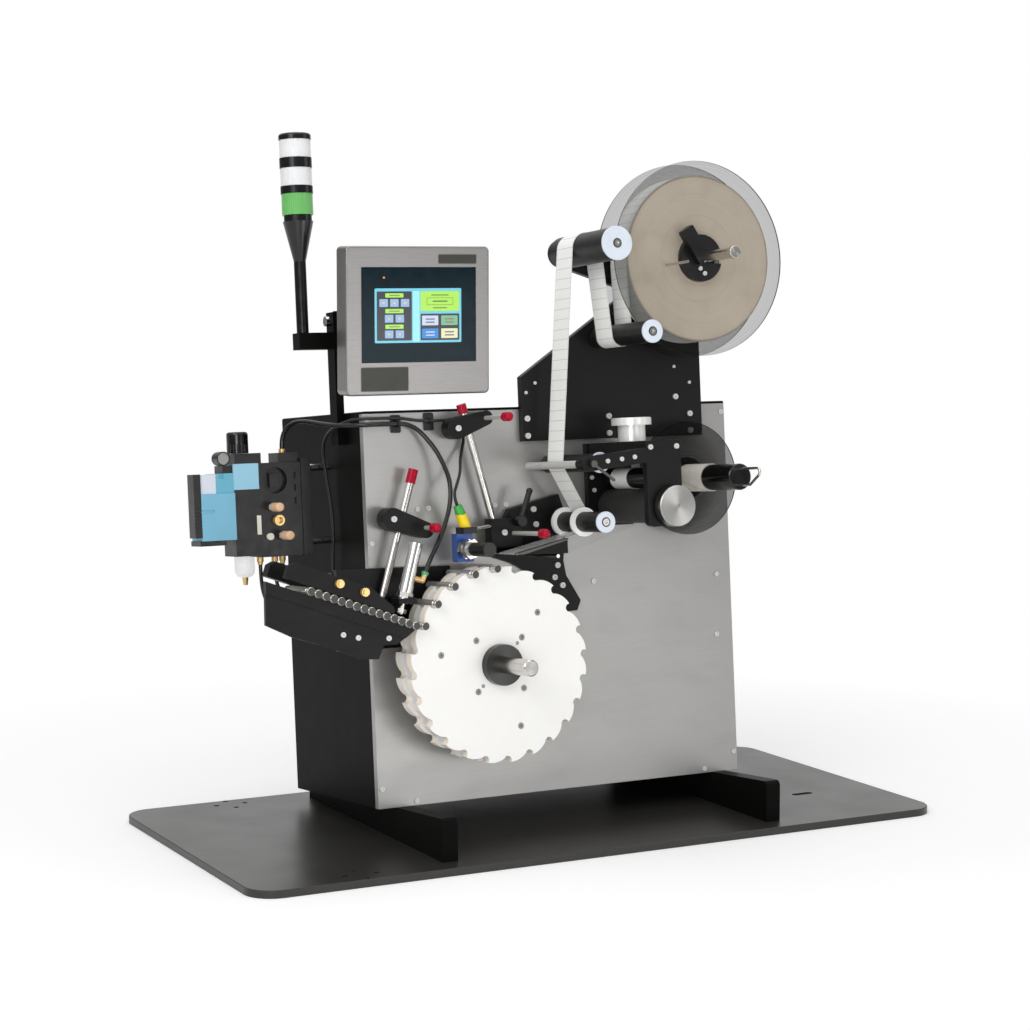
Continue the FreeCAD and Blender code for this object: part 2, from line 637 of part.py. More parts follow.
# ---------------------------------------------------------------- supply reel and rollers
def supply_plate():
    """The black plate behind the reel: a foot on the cabinet, a hub boss and an arm to the top roller."""
    top_x, top_z = TOP_ROLLER[:2]
    heading = math.atan2(SUPPLY_CROTCH[1] - top_z, SUPPLY_CROTCH[0] - top_x)
    arm_low = (top_x + SUPPLY_ARM_R * math.sin(heading), top_z - SUPPLY_ARM_R * math.cos(heading))
    outline = [
        (SUPPLY_LEFT, SUPPLY_BOTTOM),
        (SUPPLY_RIGHT, SUPPLY_BOTTOM),
        (SUPPLY_RIGHT, REEL_Z),
        (REEL_X, REEL_Z + SUPPLY_HUB_R),
        (top_x, top_z + SUPPLY_ARM_R),
        arm_low,
        SUPPLY_CROTCH,
        (SUPPLY_LEFT, SUPPLY_SHOULDER),
    ]
    plate = plate_xz(outline, -SUPPLY_THICK, 0)
    hub_boss = rod_y(REEL_X, REEL_Z, SUPPLY_HUB_R, -SUPPLY_THICK, 0)
    arm_end = rod_y(top_x, top_z, SUPPLY_ARM_R, -SUPPLY_THICK, 0)
    return plate.fuse([hub_boss, arm_end]).removeSplitter()


def roller(spec, y_back):
    """A rubber sleeve with a pale bearing cap, running on a fixed shaft."""
    x, z, radius, cap_radius, y_front = spec
    y_cap = y_front + ROLLER_CAP_THICK
    sleeve = rod_y(x, z, radius, y_cap, y_back)
    cap = rod_y(x, z, cap_radius, y_front, y_cap)
    cap = filleted(cap, 0.8, lambda edge: abs(edge.CenterOfMass.y - y_front) < 0.01)
    bore = rod_y(x, z, ROLLER_SHAFT_R + RUNNING_FIT, y_front - 1, y_back + 1)
    recess = rod_y(x, z, ROLLER_RECESS_R, y_front - 1, y_front + ROLLER_RECESS_DEEP)
    return sleeve.cut(bore), cap.cut(bore.fuse(recess))


def roller_collars():
    x, z, radius = COLLAR_ROLLER[:3]
    gap = WEB_W / 2 + 1.5
    collars = []
    for near in (WEB_Y - gap - COLLAR_THICK, WEB_Y + gap):
        ring = rod_y(x, z, COLLAR_R, near, near + COLLAR_THICK)
        collars.append(ring.cut(rod_y(x, z, radius, near - 1, near + COLLAR_THICK + 1)))
    return collars


ROLLER_BACK = -SUPPLY_THICK - 1.5
ROLLER_SPECS = {
    "top_roller": TOP_ROLLER,
    "lower_roller": LOWER_ROLLER,
    "idler_roller": IDLER_ROLLER,
    "collar_roller": COLLAR_ROLLER,
}


def dead_shafts():
    """The shafts that stand still: four for the rollers, the reel's, and the web guide rod."""
    shafts = []
    for name, (x, z, radius, cap_radius, y_front) in ROLLER_SPECS.items():
        seat = 0.0 if name == "idler_roller" else -SUPPLY_THICK
        if name == "collar_roller":
            seat = WEB_PLATE_FRONT
        shaft = rod_y(x, z, ROLLER_SHAFT_R, y_front - 0.5, seat)
        socket = rod_y(x, z, ROLLER_SHAFT_R * 0.45, y_front - 1, y_front + 2)
        shafts.append(shaft.cut(socket))
    shaft = rod_y(REEL_X, REEL_Z, REEL_SHAFT_R, REEL_SHAFT_END_Y, -SUPPLY_THICK)
    knob = rod_y(REEL_X, REEL_Z, REEL_SHAFT_CAP_R, REEL_SHAFT_END_Y, REEL_SHAFT_END_Y + 9)
    knob = filleted(knob, 1.5, lambda edge: abs(edge.CenterOfMass.y - REEL_SHAFT_END_Y) < 0.01)
    spacer = rod_y(REEL_X, REEL_Z, REEL_SPACER_R, reel_back() + CLEAR, -SUPPLY_THICK)
    shafts.append(shaft.fuse([knob, spacer]).removeSplitter())
    shafts.append(rod_y(GUIDE_X, GUIDE_Z, GUIDE_ROD_R, NIP_FRONT + GUIDE_ROD_SUNK, 0))
    return shafts


def reel_back():
    """The rear face of the reel's hub."""
    return WEB_Y + WEB_W / 2 + REEL_DISC_THICK + 1.5


def reel_discs():
    discs = []
    for near in (WEB_Y - WEB_W / 2 - REEL_DISC_THICK, WEB_Y + WEB_W / 2):
        disc = rod_y(REEL_X, REEL_Z, REEL_DISC_R, near, near + REEL_DISC_THICK)
        discs.append(disc.cut(rod_y(REEL_X, REEL_Z, REEL_CORE_R, near - 1, near + REEL_DISC_THICK + 1)))
    return discs


def reel_hub():
    """The expanding core hub: a drum with a slot, a tilted latch bar, two screws and the disc's pull pin."""
    y_front = WEB_Y - WEB_W / 2 - REEL_DISC_THICK - REEL_HUB_PROUD
    y_back = reel_back()
    bore = rod_y(REEL_X, REEL_Z, REEL_SHAFT_R + RUNNING_FIT, y_front - 30, y_back + 1)
    drum = rod_y(REEL_X, REEL_Z, REEL_CORE_R - 0.1, y_front, y_back)
    slot_low, slot_high, slot_deep = REEL_SLOT
    slot_right = REEL_X + REEL_CORE_R
    slot = box(REEL_X, slot_right, y_front - 1, y_front + slot_deep, REEL_Z + slot_low, REEL_Z + slot_high)
    drum = drum.cut(slot).cut(bore)
    length, width, thick = REEL_LATCH
    bar = box(-length / 2, length / 2, -thick, 0, -width / 2, width / 2)
    bar = filleted(bar, 3.0, lambda edge: runs_along(edge, "y"))
    bar.rotate(Vector(0, 0, 0), Vector(0, 1, 0), REEL_LATCH_DEG)
    bar.translate(Vector(REEL_X + REEL_LATCH_AT[0], y_front, REEL_Z + REEL_LATCH_AT[1]))
    bar = bar.cut(bore)
    screws = [cap_screw(REEL_X + across, REEL_Z + up, y_front, SMALL_HEAD) for across, up in REEL_HUB_SCREWS]
    disc_front = WEB_Y - WEB_W / 2 - REEL_DISC_THICK
    pin_across, pin_up, pin_r, pin_length = REEL_PIN
    pin = rod_y(REEL_X + pin_across, REEL_Z + pin_up, pin_r, disc_front - pin_length, disc_front)
    return [drum, bar, pin] + screws


def label_roll():
    roll = rod_y(REEL_X, REEL_Z, LABEL_ROLL_R, WEB_Y - WEB_W / 2, WEB_Y + WEB_W / 2)
    return roll.cut(rod_y(REEL_X, REEL_Z, REEL_CORE_R + 0.1, WEB_Y - WEB_W, WEB_Y + WEB_W))


# ---------------------------------------------------------------- label web
def nip_centre():
    """The pressed roller stands straight over the driven one, the web's thickness and its play apart."""
    return DRIVE_X, DRIVE_Z + DRIVE_R + NIP_R + 2 * CLEAR + WEB_THICK + 0.2


def web_rounds():
    """The rounds that the web runs over, in order: x, z, radius, turn (1 anticlockwise, -1 clockwise)."""
    nip_x, nip_z = nip_centre()
    return {
        "reel": (REEL_X, REEL_Z, LABEL_ROLL_R, 1),
        "lower": (LOWER_ROLLER[0], LOWER_ROLLER[1], LOWER_ROLLER[2], -1),
        "top": (TOP_ROLLER[0], TOP_ROLLER[1], TOP_ROLLER[2], 1),
        "idler": (IDLER_ROLLER[0], IDLER_ROLLER[1], IDLER_ROLLER[2], 1),
        "collar": (COLLAR_ROLLER[0], COLLAR_ROLLER[1], COLLAR_ROLLER[2], -1),
        "peel": (PEEL_TIP[0], PEEL_TIP[1], PEEL_TIP_R, 1),
        "guide": (GUIDE_BAR[0], GUIDE_BAR[1], GUIDE_BAR[2], 1),
        "drive": (DRIVE_X, DRIVE_Z, DRIVE_R, 1),
        "nip": (nip_x, nip_z, NIP_R, -1),
        "rewind": (REWIND_X, REWIND_Z, WOUND_R, 1),
    }


def web_span(first, second):
    """Where the web's middle line leaves one round and meets the next, with the line's left normal."""
    x0, z0, r0, turn0 = first
    x1, z1, r1, turn1 = second
    lift = CLEAR + WEB_THICK / 2
    reach = math.hypot(x1 - x0, z1 - z0)
    heading = math.atan2(z1 - z0, x1 - x0)
    angle = heading + math.acos((turn1 * (r1 + lift) - turn0 * (r0 + lift)) / reach)
    normal = (math.cos(angle), math.sin(angle))
    leave = (x0 - turn0 * (r0 + lift) * normal[0], z0 - turn0 * (r0 + lift) * normal[1])
    meet = (x1 - turn1 * (r1 + lift) * normal[0], z1 - turn1 * (r1 + lift) * normal[1])
    return leave, meet, normal


def web_spans():
    """The straight runs, each under the name of the round that it reaches."""
    rounds = web_rounds()
    names = list(rounds)
    return {last: web_span(rounds[first], rounds[last]) for first, last in zip(names, names[1:])}


def beside(point, normal, shift):
    return point[0] + shift * normal[0], point[1] + shift * normal[1]


def at_front(point):
    return Vector(point[0], 0, point[1])


def web_edge(side):
    """One face of the web as edges at y = 0: straight runs joined by arcs round the rollers."""
    spans = list(web_spans().values())
    bends = list(web_rounds().values())[1:-1]
    shift = side * WEB_THICK / 2
    edges = []
    for index, (leave, meet, normal) in enumerate(spans):
        end = at_front(beside(meet, normal, shift))
        edges.append(Part.LineSegment(at_front(beside(leave, normal, shift)), end).toShape())
        if index == len(bends):
            break
        x, z, radius, turn = bends[index]
        next_leave, _, next_normal = spans[index + 1]
        begin = math.atan2(-turn * normal[1], -turn * normal[0])
        finish = math.atan2(-turn * next_normal[1], -turn * next_normal[0])
        middle = begin + turn * ((finish - begin) * turn % (2 * math.pi)) / 2
        bend_r = radius + CLEAR + WEB_THICK / 2 - turn * shift
        crown = Vector(x + bend_r * math.cos(middle), 0, z + bend_r * math.sin(middle))
        edges.append(Part.Arc(end, crown, at_front(beside(next_leave, next_normal, shift))).toShape())
    return edges


def label_web():
    left, right = web_edge(1), web_edge(-1)
    spans = list(web_spans().values())
    half = WEB_THICK / 2
    ends = []
    for point, normal in ((spans[0][0], spans[0][2]), (spans[-1][1], spans[-1][2])):
        one_face, other_face = at_front(beside(point, normal, half)), at_front(beside(point, normal, -half))
        ends.append(Part.LineSegment(one_face, other_face).toShape())
    wire = Part.Wire(Part.__sortEdges__(left + right + ends))
    web = Part.Face(wire).extrude(Vector(0, WEB_W, 0))
    web.translate(Vector(0, WEB_Y - WEB_W / 2, 0))
    return web


# ---------------------------------------------------------------- star wheel and product tubes
def pocket_angle(index):
    return STAR_PHASE_DEG + index * 360.0 / STAR_POCKETS


def star_outline():
    """Ratchet-like teeth: a round pocket for each tube, then a bowed ramp up to the next tip."""
    def crossing(radius):
        cosine = (radius ** 2 + POCKET_CENTRE_R ** 2 - POCKET_R ** 2) / (2 * radius * POCKET_CENTRE_R)
        return math.degrees(math.acos(cosine))

    def at(radius, angle):
        return at_front(polar(0, 0, radius, angle))

    pitch = 360.0 / STAR_POCKETS
    heel_r, back_r = STAR_RAMP_R
    edges = []
    for index in range(STAR_POCKETS):
        middle = pocket_angle(index)
        tip = at(STAR_TIP_R, middle - crossing(STAR_TIP_R))
        floor = at(POCKET_CENTRE_R - POCKET_R, middle)
        heel = at(heel_r, middle + crossing(heel_r))
        back = at(back_r, middle + pitch * 0.43)
        next_tip = at(STAR_TIP_R, middle + pitch - crossing(STAR_TIP_R))
        edges.append(Part.Arc(tip, floor, heel).toShape())
        edges.append(Part.Arc(heel, back, next_tip).toShape())
    return Part.Wire(edges)


def star_posts():
    return [polar(STAR_X, STAR_Z, STAR_POST_R, 42 + 120 * step) for step in range(3)]


def star_bolts():
    return [polar(STAR_X, STAR_Z, STAR_BOLT_R, 45 + 90 * step) for step in range(4)] + star_posts()


def star_discs():
    blank = Part.Face(star_outline()).extrude(Vector(0, STAR_DISC_THICK, 0))
    discs = []
    for near in (STAR_FRONT_Y, STAR_FRONT_Y + STAR_DISC_THICK + STAR_GAP):
        disc = blank.copy()
        disc.translate(Vector(STAR_X, near, STAR_Z))
        disc = disc.cut(rod_y(STAR_X, STAR_Z, STAR_SHAFT_R, near - 1, near + STAR_DISC_THICK + 1))
        if near == STAR_FRONT_Y:
            for x, z in star_bolts():
                disc = disc.cut(rod_y(x, z, STAR_BOLT_HEAD_R, near - 1, near + STAR_BOLT_DEEP))
        discs.append(disc)
    return discs


def star_hub():
    """Shaft with its bosses and the hub between the discs, spacer posts, sunk bolts and dowels."""
    gap_front = STAR_FRONT_Y + STAR_DISC_THICK
    gap_back = gap_front + STAR_GAP
    rear = gap_back + STAR_DISC_THICK
    hub = turned(
        (
            (0, STAR_SHAFT_END_Y),
            (STAR_SHAFT_R - 1.5, STAR_SHAFT_END_Y),
            (STAR_SHAFT_R, STAR_SHAFT_END_Y + 1.5),
            (STAR_SHAFT_R, STAR_FRONT_Y - STAR_BOSS_PROUD),
            (STAR_BOSS_R, STAR_FRONT_Y - STAR_BOSS_PROUD),
            (STAR_BOSS_R, STAR_FRONT_Y),
            (STAR_SHAFT_R, STAR_FRONT_Y),
            (STAR_SHAFT_R, gap_front),
            (STAR_HUB_R, gap_front),
            (STAR_HUB_R, gap_back),
            (STAR_SHAFT_R, gap_back),
            (STAR_SHAFT_R, rear),
            (STAR_BOSS_R, rear),
            (STAR_BOSS_R, -1.0),
            (STAR_SHAFT_R, -1.0),
            (STAR_SHAFT_R, PLATE_THICK + GEARBOX_DEEP - 10),
            (0, PLATE_THICK + GEARBOX_DEEP - 10),
        ),
        STAR_X, 0, STAR_Z, Vector(0, 1, 0),
    )
    pieces = [hub]
    pieces += [rod_y(x, z, STAR_POST_SIZE, gap_front, gap_back) for x, z in star_posts()]
    seat = STAR_FRONT_Y + STAR_BOLT_DEEP
    head = (STAR_BOLT_HEAD_R - 0.5, STAR_BOLT_DEEP - 0.4)
    pieces += [cap_screw(x, z, seat, head) for x, z in star_bolts()]
    for angle in (45, 225):
        x, z = polar(STAR_X, STAR_Z, STAR_DOWEL_R, angle)
        pieces.append(rod_y(x, z, DOWEL_SIZE, STAR_FRONT_Y - 0.4, STAR_FRONT_Y))
    return pieces


def product_tube(x, z):
    """A small closed tube lying along y, with the crimped neck near its front end."""
    profile = (
        (0, 0), (TUBE_R - 0.8, 0), (TUBE_R, 0.8), (TUBE_R, 6.0), (TUBE_NECK, 7.2), (TUBE_NECK, 8.6),
        (TUBE_R, 9.8), (TUBE_R, TUBE_LENGTH), (0, TUBE_LENGTH),
    )
    return turned(profile, x, TUBE_FRONT_Y, z, Vector(0, 1, 0))


def wheel_tubes():
    places = [polar(STAR_X, STAR_Z, POCKET_CENTRE_R, pocket_angle(-index)) for index in range(TUBES_ON_WHEEL)]
    return [product_tube(x, z) for x, z in places]


def chute_point(along, above=0.0):
    """A point by the row of tubes: the distance up the chute, and the height square to it."""
    slope = math.radians(CHUTE_SLOPE_DEG)
    x = CHUTE_LOW[0] - along * math.cos(slope) + above * math.sin(slope)
    z = CHUTE_LOW[1] + along * math.sin(slope) + above * math.cos(slope)
    return x, z


def chute_along(x, above=0.0):
    """How far up the chute a point lies that has this x."""
    slope = math.radians(CHUTE_SLOPE_DEG)
    return (CHUTE_LOW[0] + above * math.sin(slope) - x) / math.cos(slope)


def chute_tubes():
    return [product_tube(*chute_point(index * TUBE_PITCH)) for index in range(TUBES_IN_CHUTE)]


# ---------------------------------------------------------------- feed chute
def cylinder_point(down):
    """A point on the air cylinder's axis, so far below the body's lower end."""
    reach_x, reach_z = CYLINDER_LOW[0] - CYLINDER_TOP[0], CYLINDER_LOW[1] - CYLINDER_TOP[1]
    reach = math.hypot(reach_x, reach_z)
    return CYLINDER_LOW[0] + down * reach_x / reach, CYLINDER_Y, CYLINDER_LOW[1] + down * reach_z / reach


def cylinder_rod(radius, first, last):
    return rod(cylinder_point(first), cylinder_point(last), radius)


def hex_nut(radius, first, last):
    """A hexagon round the air cylinder's axis, between two distances below the body."""
    corners = [Vector(across, up, 0) for across, up in hexagon(0, 0, radius)]
    nut = Part.Face(Part.makePolygon(corners + corners[:1])).extrude(Vector(0, 0, last - first))
    start, end = Vector(*cylinder_point(first)), Vector(*cylinder_point(last))
    nut.Placement = FreeCAD.Placement(start, FreeCAD.Rotation(Vector(0, 0, 1), end - start))
    return nut


def chute_frame():
    """Two side plates whose sloping upper edges carry the tubes, a floor, a foot plate and a bracket."""
    track = -TUBE_R - RUNNING_FIT
    bar_low = track - TRACK_BAR_H
    left_top = chute_point(chute_along(CHUTE_LEFT_X, track), track)
    tip_top = chute_point(-1.0, track)
    bar_left = chute_point(chute_along(CHUTE_LEFT_X, bar_low), bar_low)
    bar_right = chute_point(chute_along(TRACK_BAR_RIGHT, bar_low), bar_low)
    rear_left = chute_point(chute_along(CHUTE_REAR_LEFT_X, track), track)
    front_back = CHUTE_FRONT + CHUTE_SIDE_THICK
    rear_front = CHUTE_BACK - CHUTE_REAR_THICK
    front = plate_xz((bar_left, bar_right) + CHUTE_FRONT_LOW, CHUTE_FRONT + TRACK_BAR_PROUD, front_back)
    track_bar = plate_xz((left_top, tip_top, bar_right, bar_left), CHUTE_FRONT, front_back)
    rear = plate_xz((rear_left, tip_top) + CHUTE_REAR_LOW, rear_front, CHUTE_BACK)
    left_end, right_end = chute_along(CHUTE_REAR_LEFT_X + 6.0), chute_along(-12.0)
    floor_top, floor_low = track - CHUTE_FLOOR[0], track - CHUTE_FLOOR[1]
    floor_outline = (
        chute_point(left_end, floor_top), chute_point(right_end, floor_top),
        chute_point(right_end, floor_low), chute_point(left_end, floor_low),
    )
    floor = plate_xz(floor_outline, front_back, rear_front)
    foot = plate_xz(CHUTE_FOOT, CHUTE_BACK, 0)
    return [front, track_bar, rear, floor, foot, cylinder_bracket()]


def cylinder_bracket():
    """An arm from the foot plate, bored for the cylinder's threaded nose."""
    nose_x, _, nose_z = cylinder_point(BODY_NUT_H + BRACKET_THICK / 2)
    low, high = nose_z - BRACKET_THICK / 2, nose_z + BRACKET_THICK / 2
    right = nose_x + 16.0
    head = box(nose_x - 14.0, right, CYLINDER_Y - 15.0, CYLINDER_Y + 15.0, low, high)
    arm = box(BRACKET_ARM_LEFT, right, CYLINDER_Y + 15.0, CHUTE_BACK, low, high)
    bracket = head.fuse(arm).removeSplitter()
    return bracket.cut(cylinder_rod(BODY_NUT_R + 0.6, -20, BODY_NUT_H)).cut(cylinder_rod(NOSE_R, -1, 30))


def hold_down_rail(right, toe, y_front, y_back):
    """One rail over the tubes' ends; its top edge comes down to the toe's height at the right."""
    low = TUBE_R + HOLD_DOWN_GAP
    high = low + HOLD_DOWN_H
    start = chute_along(HOLD_DOWN_LEFT)
    crest = chute_along(THUMB_SCREWS[-1][0] + THUMB_R * 2, high)
    outline = (
        chute_point(start, low), chute_point(chute_along(right, low), low),
        chute_point(chute_along(right, low + toe), low + toe), chute_point(crest, high),
        chute_point(start - 8.0, high), chute_point(start, high - 8.0),
    )
    return plate_xz(outline, y_front, y_back)


def hold_down_rails():
    """Two rails over the ends of the tubes, tied by two cross bars with brass thumb nuts in front."""
    front_right, rear_right = HOLD_DOWN_RIGHT
    front_back = CHUTE_FRONT + CHUTE_SIDE_THICK
    rear_front = CHUTE_BACK - CHUTE_REAR_THICK - 7.0
    front = hold_down_rail(front_right, HOLD_DOWN_TOE, CHUTE_FRONT, front_back)
    rear = hold_down_rail(rear_right, HOLD_DOWN_H - 1.0, rear_front, CHUTE_BACK - 2.0)
    rear = rear.cut(left_rod_body(ROD_R))
    pieces = [front, rear]
    for x, z in THUMB_SCREWS:
        pieces.append(rod_y(x, z, TIE_ROD_R, front_back, rear_front))
        nut = rod_y(x, z, THUMB_R, CHUTE_FRONT - 7.0, CHUTE_FRONT)
        tip = rod_y(x, z, TIE_ROD_R, CHUTE_FRONT - 10.0, CHUTE_FRONT - 7.0)
        pieces.append(nut.fuse(tip))
    return pieces


# ---------------------------------------------------------------- clamps and adjusting rods
def left_rod_body(radius):
    (top_x, top_z), (low_x, low_z) = LEFT_ROD
    return rod((top_x, ROD_Y, top_z), (low_x, ROD_Y, low_z), radius)


def top_rod_body(radius):
    (top_x, top_z), (low_x, low_z) = TOP_ROD
    return rod((top_x, ROD_Y, top_z), (low_x, ROD_Y, low_z), radius)


def grip(rod_ends, length):
    """The red sleeve over a rod's upper end."""
    (top_x, top_z), (low_x, low_z) = rod_ends
    reach = math.hypot(low_x - top_x, low_z - top_z)
    down_x, down_z = (low_x - top_x) / reach, (low_z - top_z) / reach
    top = (top_x - 1.5 * down_x, ROD_Y, top_z - 1.5 * down_z)
    low = (top_x + length * down_x, ROD_Y, top_z + length * down_z)
    return rod(top, low, GRIP_R)


def clamp_rod_left():
    return [left_rod_body(ROD_R), grip(LEFT_ROD, LEFT_GRIP).cut(left_rod_body(ROD_R))]


def clamp_rod_top():
    return [top_rod_body(ROD_R), grip(TOP_ROD, TOP_GRIP).cut(top_rod_body(ROD_R))]


def clamp_arm(ends):
    """A link plate on a round spacer, one end screwed to the machine."""
    x0, z0 = ends[:2]
    arm = hull_of_circles(*ends, ARM_FRONT, ARM_FRONT + ARM_THICK)
    return arm.fuse(rod_y(x0, z0, ARM_SPACER_R, ARM_FRONT + ARM_THICK, 0)).removeSplitter()


def lever_bore(name, radius):
    x, z, _ = LEVERS[name]
    return rod_y(x, z, radius, ARM_FRONT - 1, ARM_FRONT + LEVER_DEEP + CLEAR)


def sensor_post(radius):
    return rod(SENSOR_POST_LEFT, SENSOR_POST_RIGHT, radius)


def clamp_arms():
    """The arm that carries the hold-down rod, the arm of the upper rod and the block at its foot."""
    left = clamp_arm(LEFT_ARM).cut(left_rod_body(ROD_R + RUNNING_FIT))
    left = left.cut(lever_bore("ball_lever_left", LEVER_R + RUNNING_FIT))
    top = clamp_arm(TOP_ARM).cut(top_rod_body(ROD_R))
    top = top.cut(lever_bore("ball_lever_top", LEVER_R + RUNNING_FIT))
    block = box(BLOCK_X[0], BLOCK_X[1], ARM_FRONT, WEB_PLATE_FRONT, BLOCK_Z[0], BLOCK_Z[1])
    block = block.cut(top_rod_body(ROD_R)).cut(lever_bore("ball_lever_low", LEVER_R + RUNNING_FIT))
    block = block.cut(sensor_post(SENSOR_POST_R))
    x, z = RATCHET
    block = block.cut(rod_y(x, z, RATCHET_STUD_R + RUNNING_FIT, ARM_FRONT - 1, ARM_FRONT + 10 + CLEAR))
    return [left, top, block]


def ball_lever(name):
    """A clamping screw with a long steel shank and a red cap that ends in a ball."""
    x, z, ball_y = LEVERS[name]
    cap_back = ball_y + CAP_LENGTH
    shank = rod_y(x, z, LEVER_R, ball_y, ARM_FRONT + LEVER_DEEP)
    collar = Part.makeCone(BALL_R, LEVER_R, CAP_SHOULDER, Vector(x, cap_back, z), Vector(0, 1, 0))
    cap = rod_y(x, z, BALL_R, ball_y, cap_back).fuse([Part.makeSphere(BALL_R, Vector(x, ball_y, z)), collar])
    return [shank.cut(cap), cap.removeSplitter()]


def ratchet_lever():
    """A black clamping handle whose stud enters the block."""
    x, z = RATCHET
    end_x, end_z = RATCHET_END
    y_front, y_back = RATCHET_Y
    y = (y_front + y_back) / 2
    hub = rod_y(x, z, RATCHET_HUB_R, y_front, y_back)
    stud = rod_y(x, z, RATCHET_STUD_R, y_back, ARM_FRONT + 10)
    neck = rod((x, y, z), (end_x, y, end_z), RATCHET_HANDLE_R)
    knob = Part.makeSphere(RATCHET_HANDLE_R + 0.6, Vector(end_x, y, end_z))
    return hub.fuse([stud, neck, knob]).removeSplitter()


# ---------------------------------------------------------------- label sensor
def sensor_block():
    """The threaded sensor barrel with its two nuts, in a blue block on a black carrier and post."""
    barrel = rod_y(SENSOR_X, SENSOR_Z, SENSOR_R, SENSOR_FRONT_Y, SENSOR_SPLIT_Y)
    thread = rod_y(SENSOR_X, SENSOR_Z, SENSOR_R - 0.6, SENSOR_SPLIT_Y, SENSOR_BLOCK_Y[0])
    nuts = []
    for near in SENSOR_NUT_Y:
        nut = plate_xz(hexagon(SENSOR_X, SENSOR_Z, SENSOR_NUT_R, 15.0), near, near + SENSOR_NUT_THICK)
        nuts.append(nut.cut(thread))
    block = box(*SENSOR_BLOCK_X, *SENSOR_BLOCK_Y, *SENSOR_BLOCK_Z)
    block = filleted(block, 2.0, lambda edge: runs_along(edge, "y"))
    carrier = box(*SENSOR_CARRIER_X, *SENSOR_CARRIER_Y, SENSOR_BLOCK_Z[1], SENSOR_CARRIER_TOP)
    post = sensor_post(SENSOR_POST_R)
    return [barrel, thread, block, carrier.cut(post), post] + nuts


def sensor_connector():
    """A plug that stands on the carrier: a yellow lower part and a green gland above it."""
    low, high = Vector(*CONNECTOR_LOW), Vector(*CONNECTOR_HIGH)
    split = low + (high - low) * 0.62
    carrier = box(*SENSOR_CARRIER_X, *SENSOR_CARRIER_Y, SENSOR_BLOCK_Z[1] - 10, SENSOR_CARRIER_TOP)
    lower = Part.makeCylinder(CONNECTOR_R, (split - low).Length, low, high - low).cut(carrier)
    upper = Part.makeCone(CONNECTOR_R, CONNECTOR_R * 0.75, (high - split).Length, split, high - low)
    return [lower, upper]


# ---------------------------------------------------------------- air cylinder
def air_cylinder():
    """A round cylinder held by its nose, with end caps and the elbow for its hose."""
    body = cylinder_rod(CYLINDER_R - 0.6, -CYLINDER_LENGTH + 10, -12)
    low_cap = cylinder_rod(CYLINDER_R, -12, 0)
    top_cap = cylinder_rod(CYLINDER_R, -CYLINDER_LENGTH, -CYLINDER_LENGTH + 10)
    nose_end = BODY_NUT_H + BRACKET_THICK
    nose = cylinder_rod(NOSE_R, 0, nose_end)
    tube = body.fuse([low_cap, top_cap, nose]).removeSplitter()
    tube = tube.cut(cylinder_rod(PIN_R + RUNNING_FIT, -PIN_INSIDE - PIN_BACK - 1, nose_end + 1))
    body_nut = hex_nut(BODY_NUT_R, 0, BODY_NUT_H).cut(nose)
    base_x, base_y, base_z = cylinder_point(-PORT_UP)
    down_x, down_z = CYLINDER_LOW[0] - CYLINDER_TOP[0], CYLINDER_LOW[1] - CYLINDER_TOP[1]
    reach = math.hypot(down_x, down_z)
    out = (-down_z / reach, down_x / reach)
    knee = (base_x + PORT_OUT * out[0], base_y, base_z + PORT_OUT * out[1])
    barb = rod((base_x, base_y, base_z), knee, PORT_R)
    elbow = barb.fuse([Part.makeSphere(PORT_R, Vector(*knee)), rod(knee, port_ring()[0], PORT_R)])
    elbow = elbow.cut(cylinder_rod(CYLINDER_R - 0.6, -CYLINDER_LENGTH, 0))
    ring_low, ring_high = port_ring()
    return [tube, body_nut, elbow, rod(ring_low, ring_high, PORT_R + 1.2).cut(elbow)]


def port_ring():
    """Both ends of the coloured push-in ring on the elbow; the hose starts at the second."""
    return (64.3, CYLINDER_Y, 362.8), (66.2, CYLINDER_Y, 367.0)


def cylinder_pin():
    pin = cylinder_rod(PIN_R, -PIN_INSIDE, PIN_REACH)
    nut = hex_nut(PIN_NUT_R, PIN_REACH - PIN_NUT_H - 1.5, PIN_REACH - 1.5)
    return pin.fuse(nut).removeSplitter()


